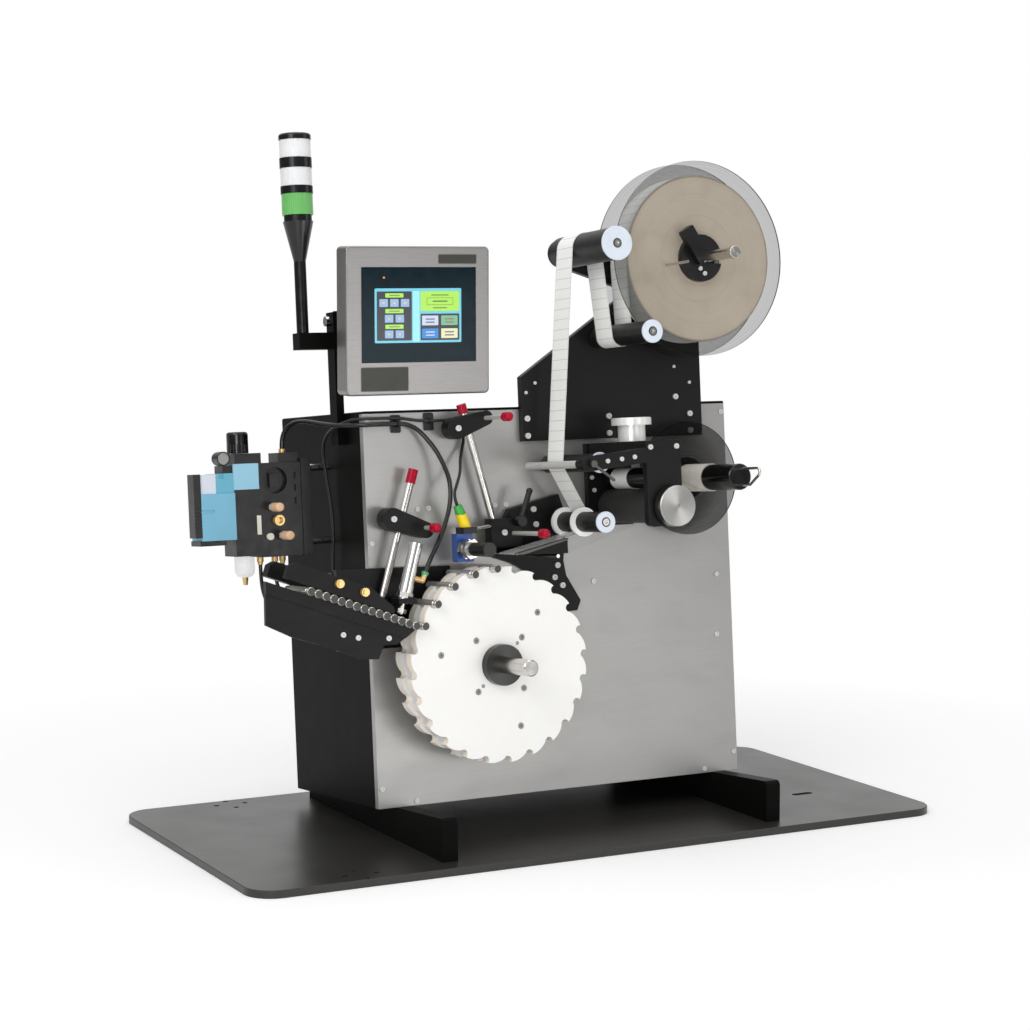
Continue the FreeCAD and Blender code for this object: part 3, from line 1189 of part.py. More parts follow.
# ---------------------------------------------------------------- peel plate and web plate
def peel_plate():
    """A steel blade on a black wedge, and the bar below it; both stand out from the web plate."""
    spans = web_spans()
    _, over_tip, over_normal = spans["peel"]
    over_leave = spans["peel"][0]
    lift = CLEAR + WEB_THICK / 2
    nose_top = beside(over_tip, over_normal, lift)
    back_top = beside(over_leave, over_normal, lift)
    share = (PEEL_BACK_X - nose_top[0]) / (back_top[0] - nose_top[0])
    back_top = (PEEL_BACK_X, nose_top[1] + share * (back_top[1] - nose_top[1]))
    back_mid = (PEEL_BACK_X, back_top[1] - PEEL_BLADE_THICK)
    nose_low = (PEEL_TIP[0], PEEL_TIP[1] - PEEL_TIP_R)
    heel = (GUIDE_BAR[0] + 3.0, GUIDE_BAR[1] + GUIDE_BAR[2] + 0.7)
    fall = (heel[1] - nose_low[1]) / (heel[0] - nose_low[0])
    rise = (back_top[1] - nose_top[1]) / (back_top[0] - nose_top[0])
    split_x = nose_low[0] + PEEL_BLADE_THICK / (rise - fall)
    split = (split_x, nose_low[1] + fall * (split_x - nose_low[0]))
    blade = plate_xz((nose_low, nose_top, back_top, back_mid, split), PEEL_FRONT_Y, WEB_PLATE_FRONT)
    edge = rod_y(PEEL_TIP[0], PEEL_TIP[1], PEEL_TIP_R, PEEL_FRONT_Y, WEB_PLATE_FRONT)
    blade = blade.fuse(edge).removeSplitter()
    wedge = plate_xz((split, back_mid, (PEEL_BACK_X, heel[1]), heel), PEEL_FRONT_Y + 2.0, WEB_PLATE_FRONT)
    bar = rod_y(GUIDE_BAR[0], GUIDE_BAR[1], GUIDE_BAR[2], PEEL_FRONT_Y, WEB_PLATE_FRONT)
    return [blade, wedge, bar]


def web_plate():
    """The black plate behind the peel block, hollowed round the star wheel."""
    low, middle, high = [polar(STAR_X, STAR_Z, WEB_PLATE_ARC_R, angle) for angle in WEB_PLATE_ARC]
    corners = [at_front(point) for point in (high,) + WEB_PLATE_CORNERS + (low,)]
    edges = [Part.LineSegment(start, end).toShape() for start, end in zip(corners, corners[1:])]
    edges.append(Part.Arc(corners[-1], at_front(middle), corners[0]).toShape())
    plate = Part.Face(Part.Wire(edges)).extrude(Vector(0, -WEB_PLATE_FRONT, 0))
    plate.translate(Vector(0, WEB_PLATE_FRONT, 0))
    return plate


# ---------------------------------------------------------------- nip station
def nip_bracket():
    """Front and rear bearing plates joined by a beam, and the arm that reaches to the guide rod."""
    back = NIP_FRONT + NIP_PLATE_THICK
    front = box(*NIP_PLATE_X, NIP_FRONT, back, *NIP_PLATE_Z)
    corner_x, corner_z = NIP_PLATE_X[0], NIP_PLATE_Z[0]
    front = filleted(front, 10.0, lambda edge: runs_along(edge, "y")
                     and abs(edge.CenterOfMass.x - corner_x) < 1 and abs(edge.CenterOfMass.z - corner_z) < 1)
    beam = box(*NIP_PLATE_X, back, WEB_PLATE_FRONT, NIP_BEAM_LOW, NIP_PLATE_Z[1])
    rear = box(*NIP_REAR_X, WEB_PLATE_FRONT, 0, *NIP_REAR_Z)
    arm_r = GUIDE_ARM_H / 2
    arm_right = NIP_PLATE_X[0] + 14.0
    arm_ends = (GUIDE_X, GUIDE_Z, arm_r, arm_right, GUIDE_Z + GUIDE_ARM_RISE, arm_r)
    arm = hull_of_circles(*arm_ends, NIP_FRONT, back)
    sleeve = rod_y(GUIDE_X, GUIDE_Z, GUIDE_ROD_R + 2, back, GUIDE_SLEEVE_BACK)
    bracket = front.fuse([beam, rear, arm, sleeve]).removeSplitter()
    nip_x, nip_z = nip_centre()
    top = NIP_PLATE_Z[1]
    bores = (
        rod_y(DRIVE_X, DRIVE_Z, DRIVE_SHAFT_R + RUNNING_FIT, NIP_FRONT - 1, 1),
        rod_y(nip_x, nip_z, NIP_SHAFT_R + RUNNING_FIT, NIP_FRONT + 4, WEB_PLATE_FRONT + 8),
        rod_z(DRIVE_X, PRESSURE_Y, PRESSURE_STUD_R + RUNNING_FIT, top - PRESSURE_STUD_DEEP - 2, top + 1),
        rod_y(GUIDE_X, GUIDE_Z, GUIDE_ROD_R, NIP_FRONT + GUIDE_ROD_SUNK, 0),
        rod_y(*GUIDE_LEVER_PIVOT, GUIDE_STUD_R + RUNNING_FIT, NIP_FRONT - 1, NIP_FRONT + GUIDE_STUD_DEEP + 1),
    )
    for bore in bores:
        bracket = bracket.cut(bore)
    return bracket


def drive_roller():
    """The grippy driven roller, its through shaft and the pulley behind the front plate."""
    knob_seat = KNOB_FRONT_Y + KNOB_THICK
    profile = (
        (0, knob_seat - 12), (DRIVE_SHAFT_R, knob_seat - 12), (DRIVE_SHAFT_R, ROLLER_ENDS[0]),
        (DRIVE_R, ROLLER_ENDS[0]), (DRIVE_R, ROLLER_ENDS[1]), (DRIVE_SHAFT_R, ROLLER_ENDS[1]),
        (DRIVE_SHAFT_R, PULLEY_Y[0]), (PULLEY_R, PULLEY_Y[0]), (PULLEY_R, PULLEY_Y[1]),
        (DRIVE_SHAFT_R, PULLEY_Y[1]), (DRIVE_SHAFT_R, DRIVE_GEARBOX_Y + GEARBOX_DEEP - 10),
        (0, DRIVE_GEARBOX_Y + GEARBOX_DEEP - 10),
    )
    return turned(profile, DRIVE_X, 0, DRIVE_Z, Vector(0, 1, 0))


def drive_knob():
    back = KNOB_FRONT_Y + KNOB_THICK
    knob = rod_y(DRIVE_X, DRIVE_Z, KNOB_R, KNOB_FRONT_Y, back)
    knob = knob.makeChamfer(1.2, [edge for edge in knob.Edges if isinstance(edge.Curve, Part.Circle)])
    centre = rod_y(DRIVE_X, DRIVE_Z, 3.0, KNOB_FRONT_Y - 1, KNOB_FRONT_Y + 2)
    return knob.cut(rod_y(DRIVE_X, DRIVE_Z, DRIVE_SHAFT_R, back - 12, back + 1)).cut(centre)


def nip_roller():
    nip_x, nip_z = nip_centre()
    profile = (
        (0, NIP_FRONT + 5), (NIP_SHAFT_R, NIP_FRONT + 5), (NIP_SHAFT_R, ROLLER_ENDS[0]),
        (NIP_R, ROLLER_ENDS[0]), (NIP_R, ROLLER_ENDS[1]), (NIP_SHAFT_R, ROLLER_ENDS[1]),
        (NIP_SHAFT_R, WEB_PLATE_FRONT + 7), (0, WEB_PLATE_FRONT + 7),
    )
    return turned(profile, nip_x, 0, nip_z, Vector(0, 1, 0))


def pressure_knob():
    """The screw that loads the pressed roller: a barrel under a broad flange."""
    seat = NIP_PLATE_Z[1]
    low = seat + CLEAR
    middle, top = low + PRESSURE_BARREL_H, low + PRESSURE_BARREL_H + PRESSURE_FLANGE_H
    profile = (
        (0, seat - PRESSURE_STUD_DEEP), (PRESSURE_STUD_R, seat - PRESSURE_STUD_DEEP), (PRESSURE_STUD_R, low),
        (PRESSURE_BARREL_R, low),
        (PRESSURE_BARREL_R, middle), (PRESSURE_FLANGE_R, middle), (PRESSURE_FLANGE_R, top - 1.2),
        (PRESSURE_FLANGE_R - 1.2, top), (0, top),
    )
    return turned(profile, DRIVE_X, PRESSURE_Y, 0, Vector(0, 0, 1))


def guide_lever():
    """The small chrome lever at the arm's left end."""
    x, z = GUIDE_LEVER_PIVOT
    end_x, end_z = GUIDE_LEVER_END
    hub = rod_y(x, z, GUIDE_HUB_R, NIP_FRONT - 9, NIP_FRONT - CLEAR)
    stud = rod_y(x, z, GUIDE_STUD_R, NIP_FRONT - CLEAR, NIP_FRONT + GUIDE_STUD_DEEP)
    y = NIP_FRONT - 5.5
    wire = rod((x, y, z), (end_x, y, end_z), GUIDE_WIRE_R)
    return hub.fuse([stud, wire, Part.makeSphere(GUIDE_WIRE_R, Vector(end_x, y, end_z))]).removeSplitter()


# ---------------------------------------------------------------- rewind spindle
def rewind_mandrel():
    """The core that the bare liner winds on, the flange behind its disc, its shaft and its pulley."""
    disc_back = REWIND_DISC_Y + REWIND_DISC_THICK
    profile = (
        (0, MANDREL_FRONT_Y), (MANDREL_R - 1.5, MANDREL_FRONT_Y), (MANDREL_R, MANDREL_FRONT_Y + 1.5),
        (MANDREL_R, REWIND_DISC_Y), (REWIND_COLLAR_R, REWIND_DISC_Y), (REWIND_COLLAR_R, disc_back),
        (REWIND_FLANGE_R, disc_back), (REWIND_FLANGE_R, disc_back + REWIND_FLANGE_THICK),
        (REWIND_COLLAR_R, disc_back + REWIND_FLANGE_THICK), (REWIND_COLLAR_R, -1.0), (REWIND_SHAFT_R, -1.0),
        (REWIND_SHAFT_R, PULLEY_Y[0]), (PULLEY_R, PULLEY_Y[0]), (PULLEY_R, PULLEY_Y[1]), (0, PULLEY_Y[1]),
    )
    mandrel = turned(profile, REWIND_X, 0, REWIND_Z, Vector(0, 1, 0))
    bore_r, bore_back = BAIL_WIRE_R + CLEAR, BAIL_ROOT_Y + 10
    for side in (-1, 1):
        bore = rod_y(REWIND_X, REWIND_Z + side * BAIL_LEG, bore_r, MANDREL_FRONT_Y - 1, bore_back)
        mandrel = mandrel.cut(bore)
    return mandrel


def rewind_disc():
    disc = rod_y(REWIND_X, REWIND_Z, REWIND_DISC_R, REWIND_DISC_Y, REWIND_DISC_Y + REWIND_DISC_THICK)
    return disc.cut(rod_y(REWIND_X, REWIND_Z, REWIND_COLLAR_R, REWIND_DISC_Y - 1, REWIND_DISC_Y + 10))


def wound_liner():
    back = WEB_Y + WEB_W / 2
    roll = rod_y(REWIND_X, REWIND_Z, WOUND_R, WOUND_FRONT_Y, back)
    return roll.cut(rod_y(REWIND_X, REWIND_Z, MANDREL_R + RUNNING_FIT, WOUND_FRONT_Y - 1, back + 1))


def wire_bail():
    """A bent wire whose two legs slide in the mandrel; pulling it out frees the wound liner."""
    route = (
        (REWIND_X, BAIL_ROOT_Y, REWIND_Z + BAIL_LEG),
        (REWIND_X, BAIL_NOSE_Y, REWIND_Z + BAIL_LEG),
        (REWIND_X, BAIL_NOSE_Y + BAIL_SLANT, REWIND_Z - BAIL_LEG),
        (REWIND_X, BAIL_ROOT_Y, REWIND_Z - BAIL_LEG),
    )
    return bent_rod(route, BAIL_WIRE_R, BAIL_BEND)


# ---------------------------------------------------------------- machinery inside the cabinet
def gearmotor(x, z, y_front, shaft_r):
    half, y_back = GEARBOX / 2, y_front + GEARBOX_DEEP
    gearbox = box(x - half, x + half, y_front, y_back, z - half, z + half)
    motor = rod_y(x, z, MOTOR_R, y_back, y_back + MOTOR_LENGTH)
    bore = rod_y(x, z, shaft_r + RUNNING_FIT, y_front - 1, y_back - 9)
    return gearbox.fuse(motor).cut(bore)


def gearmotors():
    """One gearmotor on the star shaft, one set back on four posts for the drive roller."""
    machines = [
        gearmotor(STAR_X, STAR_Z, PLATE_THICK, STAR_SHAFT_R),
        gearmotor(DRIVE_X, DRIVE_Z, DRIVE_GEARBOX_Y, DRIVE_SHAFT_R),
    ]
    reach = GEARBOX / 2 - 6
    for x in (DRIVE_X - reach, DRIVE_X + reach):
        for z in (DRIVE_Z - reach, DRIVE_Z + reach):
            machines.append(rod_y(x, z, 5.0, PLATE_THICK, DRIVE_GEARBOX_Y))
    return machines


def drive_belt():
    """The flat belt from the drive shaft to the rewind spindle."""
    y_front, y_back = PULLEY_Y[0] + 3, PULLEY_Y[1] - 3
    inner = PULLEY_R + CLEAR
    ends = (DRIVE_X, DRIVE_Z), (REWIND_X, REWIND_Z)
    outside = hull_of_circles(*ends[0], inner + BELT_THICK, *ends[1], inner + BELT_THICK, y_front, y_back)
    return outside.cut(hull_of_circles(*ends[0], inner, *ends[1], inner, y_front - 1, y_back + 1))


# ---------------------------------------------------------------- operator panel and stack light
def tilted(shape):
    """The panel hangs upright while the machine leans back."""
    placed = shape.copy()
    placed.rotate(Vector(0, TILT_Y, TILT_Z), Vector(1, 0, 0), LEAN)
    return placed


def hmi_post():
    post = box(*POST_X, *POST_Y, *POST_Z)
    arm = box(BEACON_ARM_LEFT, POST_X[0], *POST_Y, *BEACON_ARM_Z)
    bore = rod((POST_X[0] - 1, TILT_Y, TILT_Z), (POST_X[1] + 1, TILT_Y, TILT_Z), TILT_BOLT_R + RUNNING_FIT)
    return post.fuse(arm).removeSplitter().cut(bore)


def hmi_housing():
    """The steel box of the panel, its hinge bracket and the hinge bolt."""
    x0, x1 = PANEL_X
    z0, z1 = PANEL_Z
    back = PANEL_FRONT_Y + PANEL_DEEP
    case = box(x0, x1, PANEL_FRONT_Y, back, z0, z1)
    case = filleted(case, PANEL_CORNER, lambda edge: runs_along(edge, "y"))
    case = filleted(case, PANEL_EDGE_R, lambda edge: abs(edge.CenterOfMass.y - PANEL_FRONT_Y) < 0.01)
    window_back = PANEL_FRONT_Y + BEZEL_RECESS + BEZEL_THICK
    case = case.cut(box(*BEZEL_X, PANEL_FRONT_Y - 1, window_back, *BEZEL_Z))
    wing_right, wing_thick, wing_up = TILT_WING
    ear_low, ear_high = TILT_Z - TILT_EAR_HALF, TILT_Z + TILT_EAR_HALF
    wing = box(x0 + 5, wing_right, back, back + wing_thick, ear_low, TILT_Z + wing_up)
    ear = box(CLEAR, 10.0, back + wing_thick, TILT_Y + TILT_EAR_HALF, ear_low, ear_high)
    head_left = (POST_X[0] - TILT_HEAD_THICK, TILT_Y, TILT_Z)
    bolt = rod(head_left, (14.0, TILT_Y, TILT_Z), TILT_BOLT_R)
    head = rod(head_left, (POST_X[0] - CLEAR, TILT_Y, TILT_Z), TILT_HEAD_R)
    bracket = wing.fuse(ear).removeSplitter().cut(bolt)
    return [tilted(piece) for piece in (case, bracket, bolt.fuse(head))]


def hmi_panel():
    """The dark bezel in the box's window, with the screen set into it."""
    front = PANEL_FRONT_Y + BEZEL_RECESS
    bezel = box(BEZEL_X[0], BEZEL_X[1], front, front + BEZEL_THICK, BEZEL_Z[0], BEZEL_Z[1])
    window = box(*SCREEN_X, front - 1, front + 1, *SCREEN_Z)
    screen = box(*SCREEN_X, front + SCREEN_RECESS, front + 1, *SCREEN_Z)
    lamp = rod_y(*LAMP, LAMP_R, front - 1.2, front)
    return [tilted(piece) for piece in (bezel.cut(window), screen, lamp)]


def beacon_column():
    """Pole, flared foot and inner core of the stack light, then the rings between the lenses and the cap."""
    foot, flare, rim, base = BEACON_LEVELS[:4]
    cap_low, cap_high = BEACON_LEVELS[-2:]
    neck_r = BEACON_LENS_R - BEACON_WALL
    core = turned(
        (
            (0, foot), (BEACON_POLE_R, foot), (BEACON_POLE_R, flare), (BEACON_LENS_R - 0.5, rim),
            (neck_r, rim), (neck_r, base), (BEACON_CORE_R, base), (BEACON_CORE_R, cap_low), (0, cap_low),
        ),
        BEACON_X, BEACON_Y, 0, Vector(0, 0, 1),
    )
    pieces = [core]
    for low, high in (BEACON_LEVELS[4:6], BEACON_LEVELS[6:8]):
        ring = rod_z(BEACON_X, BEACON_Y, BEACON_RING_R, low, high)
        pieces.append(ring.cut(rod_z(BEACON_X, BEACON_Y, BEACON_CORE_R, low - 1, high + 1)))
    cap = rod_z(BEACON_X, BEACON_Y, BEACON_RING_R, cap_low, cap_high)
    pieces.append(filleted(cap, BEACON_CAP_EDGE_R, lambda edge: edge.CenterOfMass.z > cap_high - 0.01))
    return pieces


def beacon_lenses():
    lenses = []
    for low, high in (BEACON_LEVELS[3:5], BEACON_LEVELS[5:7], BEACON_LEVELS[7:9]):
        outer = rod_z(BEACON_X, BEACON_Y, BEACON_LENS_R, low, high)
        lenses.append(outer.cut(rod_z(BEACON_X, BEACON_Y, BEACON_LENS_R - BEACON_WALL, low - 1, high + 1)))
    return lenses


# ---------------------------------------------------------------- valve group
def valve_box(x0, x1, z0, z1, front=0.0, back=0.0):
    """A block of the valve group, its faces so far behind the group's front and before its back."""
    return box(x0, x1, VALVE_FRONT_Y + front, VALVE_BACK_Y - back, z0, z1)


def valve_manifold():
    """Mounting plate on its stand-offs, the grey manifold, the dark lower blocks and the end cap."""
    plate_left, plate_right = VALVE_PLATE_X
    plate = box(plate_left, plate_right, VALVE_FRONT_Y - 2, VALVE_BACK_Y + 3, *VALVE_PLATE_Z)
    posts = []
    for z in VALVE_POST_Z:
        posts.append(rod((plate_right, KNOB_Y, z), (0, KNOB_Y, z), VALVE_POST_R))
    manifold = valve_box(MANIFOLD_LEFT, plate_left, MANIFOLD_LOW, MANIFOLD_TOP)
    hump = valve_box(*HUMP_X, MANIFOLD_TOP, HUMP_TOP, 6.0, 6.0)
    port_x, port_z, port_r = MANIFOLD_PORT
    port = rod_y(port_x, port_z, port_r, VALVE_FRONT_Y - 1, VALVE_FRONT_Y + 9)
    spool = box(port_x - 8, port_x + 8, VALVE_FRONT_Y + 3, VALVE_FRONT_Y + 9, port_z - 11, port_z + 11)
    manifold = manifold.fuse(hump).removeSplitter().cut(port).fuse(spool)
    for z in MANIFOLD_SLOT_Z:
        manifold = manifold.cut(box(*MANIFOLD_SLOT_X, VALVE_FRONT_Y - 1, VALVE_FRONT_Y + 3, z - 5, z + 5))
    lower = valve_box(FILTER_LEFT, MANIFOLD_LEFT, FILTER_LOW, BLOCK_SEAT_Z)
    strip = box(*LABEL_STRIP_X, VALVE_FRONT_Y - 0.8, VALVE_FRONT_Y, *LABEL_STRIP_Z)
    cap = valve_box(CAP_LEFT, BODY_LEFT, CAP_LOW, BLOCKS_TOP, -3.0, 28.0)
    groove_y = (VALVE_FRONT_Y - 4, VALVE_FRONT_Y - 1.5)
    for step in range(CAP_GROOVES):
        z = CAP_GROOVE_LOW + CAP_GROOVE_PITCH * step
        cap = cap.cut(box(CAP_LEFT - 1, BODY_LEFT + 1, *groove_y, z, z + CAP_GROOVE_H))
    foot = valve_box(FOOT_LEFT, DARK_BLOCK_LEFT, FOOT_LOW, BODY_LOW, 0.0, 10.0)
    cover = valve_box(*COVER_X, MANIFOLD_TOP, KNOB_SEAT_Z, 3.0, 6.0)
    return [plate, manifold, lower, strip, cap, foot, cover] + posts


def valve_body():
    """The blue valve body and the coloured blocks that stand on it."""
    body = valve_box(BODY_LEFT, FILTER_LEFT, BODY_LOW, BODY_TOP, -4.0, 7.0)
    slot_low, slot_y = BODY_TOP - 30, (VALVE_FRONT_Y - 5, VALVE_FRONT_Y - 2.5)
    body = body.cut(box(BODY_LEFT - 1, BODY_LEFT + 20, *slot_y, slot_low, slot_low + 5))
    pale = valve_box(BODY_LEFT, BLOCKS_MEET_X, BODY_TOP, BLOCKS_TOP - 1, 0.0, 8.0)
    mid = valve_box(BLOCKS_MEET_X, FILTER_LEFT, BODY_TOP, BLOCKS_TOP, 0.0, 8.0)
    notch_x, notch_y = BLOCKS_MEET_X + 6, (VALVE_FRONT_Y - 1, VALVE_FRONT_Y + 3)
    mid = mid.cut(box(notch_x, notch_x + 7, *notch_y, BLOCKS_TOP - 8, BLOCKS_TOP + 1))
    dark = valve_box(DARK_BLOCK_LEFT, FILTER_LEFT, BLOCKS_TOP, DARK_BLOCK_TOP, 4.0, 12.0)
    light = valve_box(FILTER_LEFT, MANIFOLD_LEFT, BLOCK_SEAT_Z, MANIFOLD_TOP)
    return [body, pale, mid, dark, light]


def regulator_knob():
    """The adjusting knob on top of the regulator."""
    low, high = KNOB_SEAT_Z + CLEAR, KNOB_SEAT_Z + 34.0
    profile = (
        (0, low), (REGULATOR_R, low), (REGULATOR_R, high - 4), (REGULATOR_R - 1, high - 1.2),
        (REGULATOR_R - 3, high), (0, high),
    )
    knob = turned(profile, KNOB_X, KNOB_Y, 0, Vector(0, 0, 1))
    for step in range(18):
        x, y = polar(KNOB_X, KNOB_Y, REGULATOR_R + 0.5, 20 * step)
        knob = knob.cut(rod_z(x, y, 1.2, low - 1, low + 14))
    return knob


def filter_bowl():
    """The clear bowl under the filter."""
    top, low = FILTER_LOW, BOWL_LOW_Z
    profile = (
        (0, top), (BOWL_R, top), (BOWL_R, low + 12), (BOWL_R - 1.5, low + 6), (BOWL_R - 5, low + 1.5),
        (6.0, low), (0, low),
    )
    return turned(profile, BOWL_X, KNOB_Y, 0, Vector(0, 0, 1))


def silencer(x, z):
    """A bronze exhaust silencer with its hexagon, pointing to the front."""
    root = plate_xz(hexagon(x, z, SILENCER_R), VALVE_FRONT_Y - SILENCER_HEX, VALVE_FRONT_Y)
    tip = VALVE_FRONT_Y - SILENCER_REACH
    bronze = rod_y(x, z, SILENCER_R, tip, VALVE_FRONT_Y - SILENCER_HEX)
    bronze = filleted(bronze, SILENCER_TIP_R, lambda edge: abs(edge.CenterOfMass.y - tip) < 0.01)
    return root.fuse(bronze).removeSplitter()


def air_fittings():
    """Silencers, ring fitting, plug, gauge, bowl drain, hose fittings and the ports on the cabinet's side."""
    pieces = [silencer(x, z) for x, z in SILENCERS]
    ring_x, ring_z = -99.0, 454.0
    ring = rod_y(ring_x, ring_z, 8.5, VALVE_FRONT_Y - 9, VALVE_FRONT_Y)
    pieces.append(ring.cut(rod_y(ring_x, ring_z, 5.0, VALVE_FRONT_Y - 10, VALVE_FRONT_Y - 3)))
    pieces.append(rod_y(-114.0, 429.0, 5.5, VALVE_FRONT_Y - 6, VALVE_FRONT_Y))
    gauge = rod_y(*GAUGE, GAUGE_R, VALVE_FRONT_Y - 2, VALVE_FRONT_Y + 22)
    pieces.append(gauge.cut(rod_y(*GAUGE, GAUGE_R - 1.6, VALVE_FRONT_Y - 3, VALVE_FRONT_Y - 0.5)))
    pieces.append(Part.makeCone(5.0, 3.4, 12.0, Vector(BOWL_X, KNOB_Y, BOWL_LOW_Z), Vector(0, 0, -1)))
    for x in FITTING_X:
        body = rod_z(x, KNOB_Y, FITTING_R, FITTING_BODY_LOW, MANIFOLD_LOW)
        collar = rod_z(x, KNOB_Y, DROP_HOSE_R + 1.2, HOSE_TOP_Z, FITTING_BODY_LOW)
        pieces.append(body.fuse(collar).removeSplitter())
    pieces.append(rod_z(HUMP_HOSE_X, KNOB_Y, FITTING_R, HUMP_TOP, HUMP_TOP + 6.0))
    for y, z, radius in GLANDS:
        pieces.append(rod((-GLAND_PROUD, y, z), (0, y, z), radius + 3.0))
    x, y, z = CABLE_SOCKET
    pieces.append(box(x - 7, 0, y - 8, y + 8, z - 20, z))
    return pieces


# ---------------------------------------------------------------- hoses, cables and their clips
def bent_rod(points, radius, bend_r):
    """A round bar along straight runs joined by arcs of one radius."""
    corners = [Vector(*point) for point in points]
    return swept(corners, [bend_r] * (len(corners) - 2), radius)


def beyond(start, end, distance):
    """The point that lies so far past the end of a line."""
    start, end = Vector(*start), Vector(*end)
    return end + (end - start).normalize() * distance


def cord(name, points, radius):
    """A hose or cable: each bend is as wide as its neighbouring runs allow."""
    corners = [Vector(*point) for point in points]
    bends = []
    for before, corner, after in zip(corners, corners[1:], corners[2:]):
        half_turn = (corner - before).getAngle(after - corner) / 2
        shorter = min((corner - before).Length, (after - corner).Length)
        bends.append(0.45 * shorter / math.tan(half_turn))
    tightest = min(bends)
    length = sum((end - start).Length for start, end in zip(corners, corners[1:]))
    share = tightest / (2 * radius)
    print(f"{name}: tightest bend {tightest:.1f} mm = {share:.1f} diameters, runs {length:.0f} mm")
    return swept(corners, bends, radius)


def swept(corners, bends, radius):
    """A round section carried along the corners' polyline with its corners rounded."""
    edges = []
    start = corners[0]
    for index, bend_r in enumerate(bends):
        before, corner, after = corners[index:index + 3]
        incoming, outgoing = (corner - before).normalize(), (after - corner).normalize()
        half_turn = incoming.getAngle(outgoing) / 2
        tangent = bend_r * math.tan(half_turn)
        arc_start, arc_end = corner - incoming * tangent, corner + outgoing * tangent
        centre_way = (outgoing - incoming).normalize()
        crown = corner + centre_way * (bend_r / math.cos(half_turn) - bend_r)
        edges.append(Part.LineSegment(start, arc_start).toShape())
        edges.append(Part.Arc(arc_start, crown, arc_end).toShape())
        start = arc_end
    edges.append(Part.LineSegment(start, corners[-1]).toShape())
    path = Part.Wire(edges)
    profile = Part.Wire(Part.makeCircle(radius, corners[0], corners[1] - corners[0]))
    return path.makePipeShell([profile], True, False)


AIR_HOSES = {
    "main hose": (HOSE_R, (
        (HUMP_HOSE_X, KNOB_Y, HUMP_TOP + 6), (HUMP_HOSE_X, KNOB_Y, HUMP_TOP + 22), (-72, 136, CABINET_H - 19),
        (-63, 117, CABINET_H - 10), (-53, 92, CABINET_H - 11), (-42, 66, CABINET_H - 16),
        (-33, 42, CABINET_H - 19), (-22, 19, CABINET_H - 20.5), (-10, -4, HOSE_RUN_Z),
        (10, -13.5, HOSE_RUN_Z), (34, -10.5, HOSE_RUN_Z), (50, HOSE_RUN_Y, HOSE_RUN_Z),
        (68, HOSE_RUN_Y, HOSE_RUN_Z), (86, -13, CABINET_H - 29), (100, -19, CABINET_H - 46),
        (112, -26, 553), (121, -32, 531),
        (127, -38, 508), (126, -43, 484), (118, -49, 457), (105, -55, 431), (89, -61, 405),
        beyond(*port_ring(), 20), port_ring()[1])),
    "left drop": (DROP_HOSE_R, (
        (FITTING_X[0], KNOB_Y, HOSE_TOP_Z), (FITTING_X[0], KNOB_Y, 363), (-117, 151, 340), (-103, 165, 318),
        (-82, 180, 300), (-54, 193, 288), (-32, 198, 284), (-GLAND_PROUD, 198, 284))),
    "middle drop": (DROP_HOSE_R, (
        (FITTING_X[1], KNOB_Y, HOSE_TOP_Z), (FITTING_X[1], KNOB_Y, 366), (-92, 149, 346), (-78, 158, 328),
        (-58, 165, 318), (-34, 168, 315), (-GLAND_PROUD, 168, 315))),
    "right drop": (DROP_HOSE_R, (
        (FITTING_X[2], KNOB_Y, HOSE_TOP_Z), (FITTING_X[2], KNOB_Y, 370), (-77, 142, 354), (-62, 138, 342),
        (-42, 137, 338), (-28, 136, 337), (-GLAND_PROUD, 136, 337))),
}

SIGNAL_CABLES = {
    "sensor cable": (CABLE_R, (
        CABLE_SOCKET, (-9, 117, 392), (-7.5, 115, 420), (-7, 116, 452), (-8, 121, 484), (-10, 126, 514),
        (-13, 127, 542), (-17, 120, CABINET_H - 52), (-18.5, 102, CABINET_H - 34),
        (-18.5, 77, CABINET_H - 24),
        (-17, 51, CABINET_H - 18), (-13, 27, CABINET_H - 14), (-12, 10, CABINET_H - 12),
        (-5, -6, CABINET_H - 11.7), (9, -12.5, CABINET_H - 12), (26, -11, CABINET_H - 12),
        (45, -8.5, CABINET_H - 12), (64, CABLE_RUN_Y, CABINET_H - 12.6), (82, CABLE_RUN_Y, CABINET_H - 15.6),
        (99, CABLE_RUN_Y, CABLE_RUN_Z), (128, CABLE_RUN_Y, CABLE_RUN_Z), (150, -7, CABINET_H - 17),
        (166, -7, CABINET_H - 28), (170, -8, CABINET_H - 48), (162, -14, 552), (154, -23, 536),
        (149, -33, 519), (138, -43, 501),
        beyond(CONNECTOR_LOW, CONNECTOR_HIGH, 17), CONNECTOR_HIGH)),
}


def cords(table):
    return [cord(name, points, radius) for name, (radius, points) in table.items()]


def tie_mounts():
    """Two screwed pads on the front plate, each with a strap ring round its hose or cable."""
    pieces = []
    for (x, z), (ring_y, ring_z), held_r in TIE_MOUNTS:
        half_w, half_h = TIE_PAD_W / 2, TIE_PAD_H / 2
        pad = box(x - half_w, x + half_w, -TIE_PAD_THICK, 0, z - half_h, z + half_h)
        pad = filleted(pad, 3.0, lambda edge: runs_along(edge, "y"))
        outer = -TIE_PAD_THICK - ring_y
        start, end = (x - TIE_STRAP_W / 2, ring_y, ring_z), (x + TIE_STRAP_W / 2, ring_y, ring_z)
        pieces += [pad, rod(start, end, outer).cut(rod(start, end, held_r + 0.1))]
    return pieces


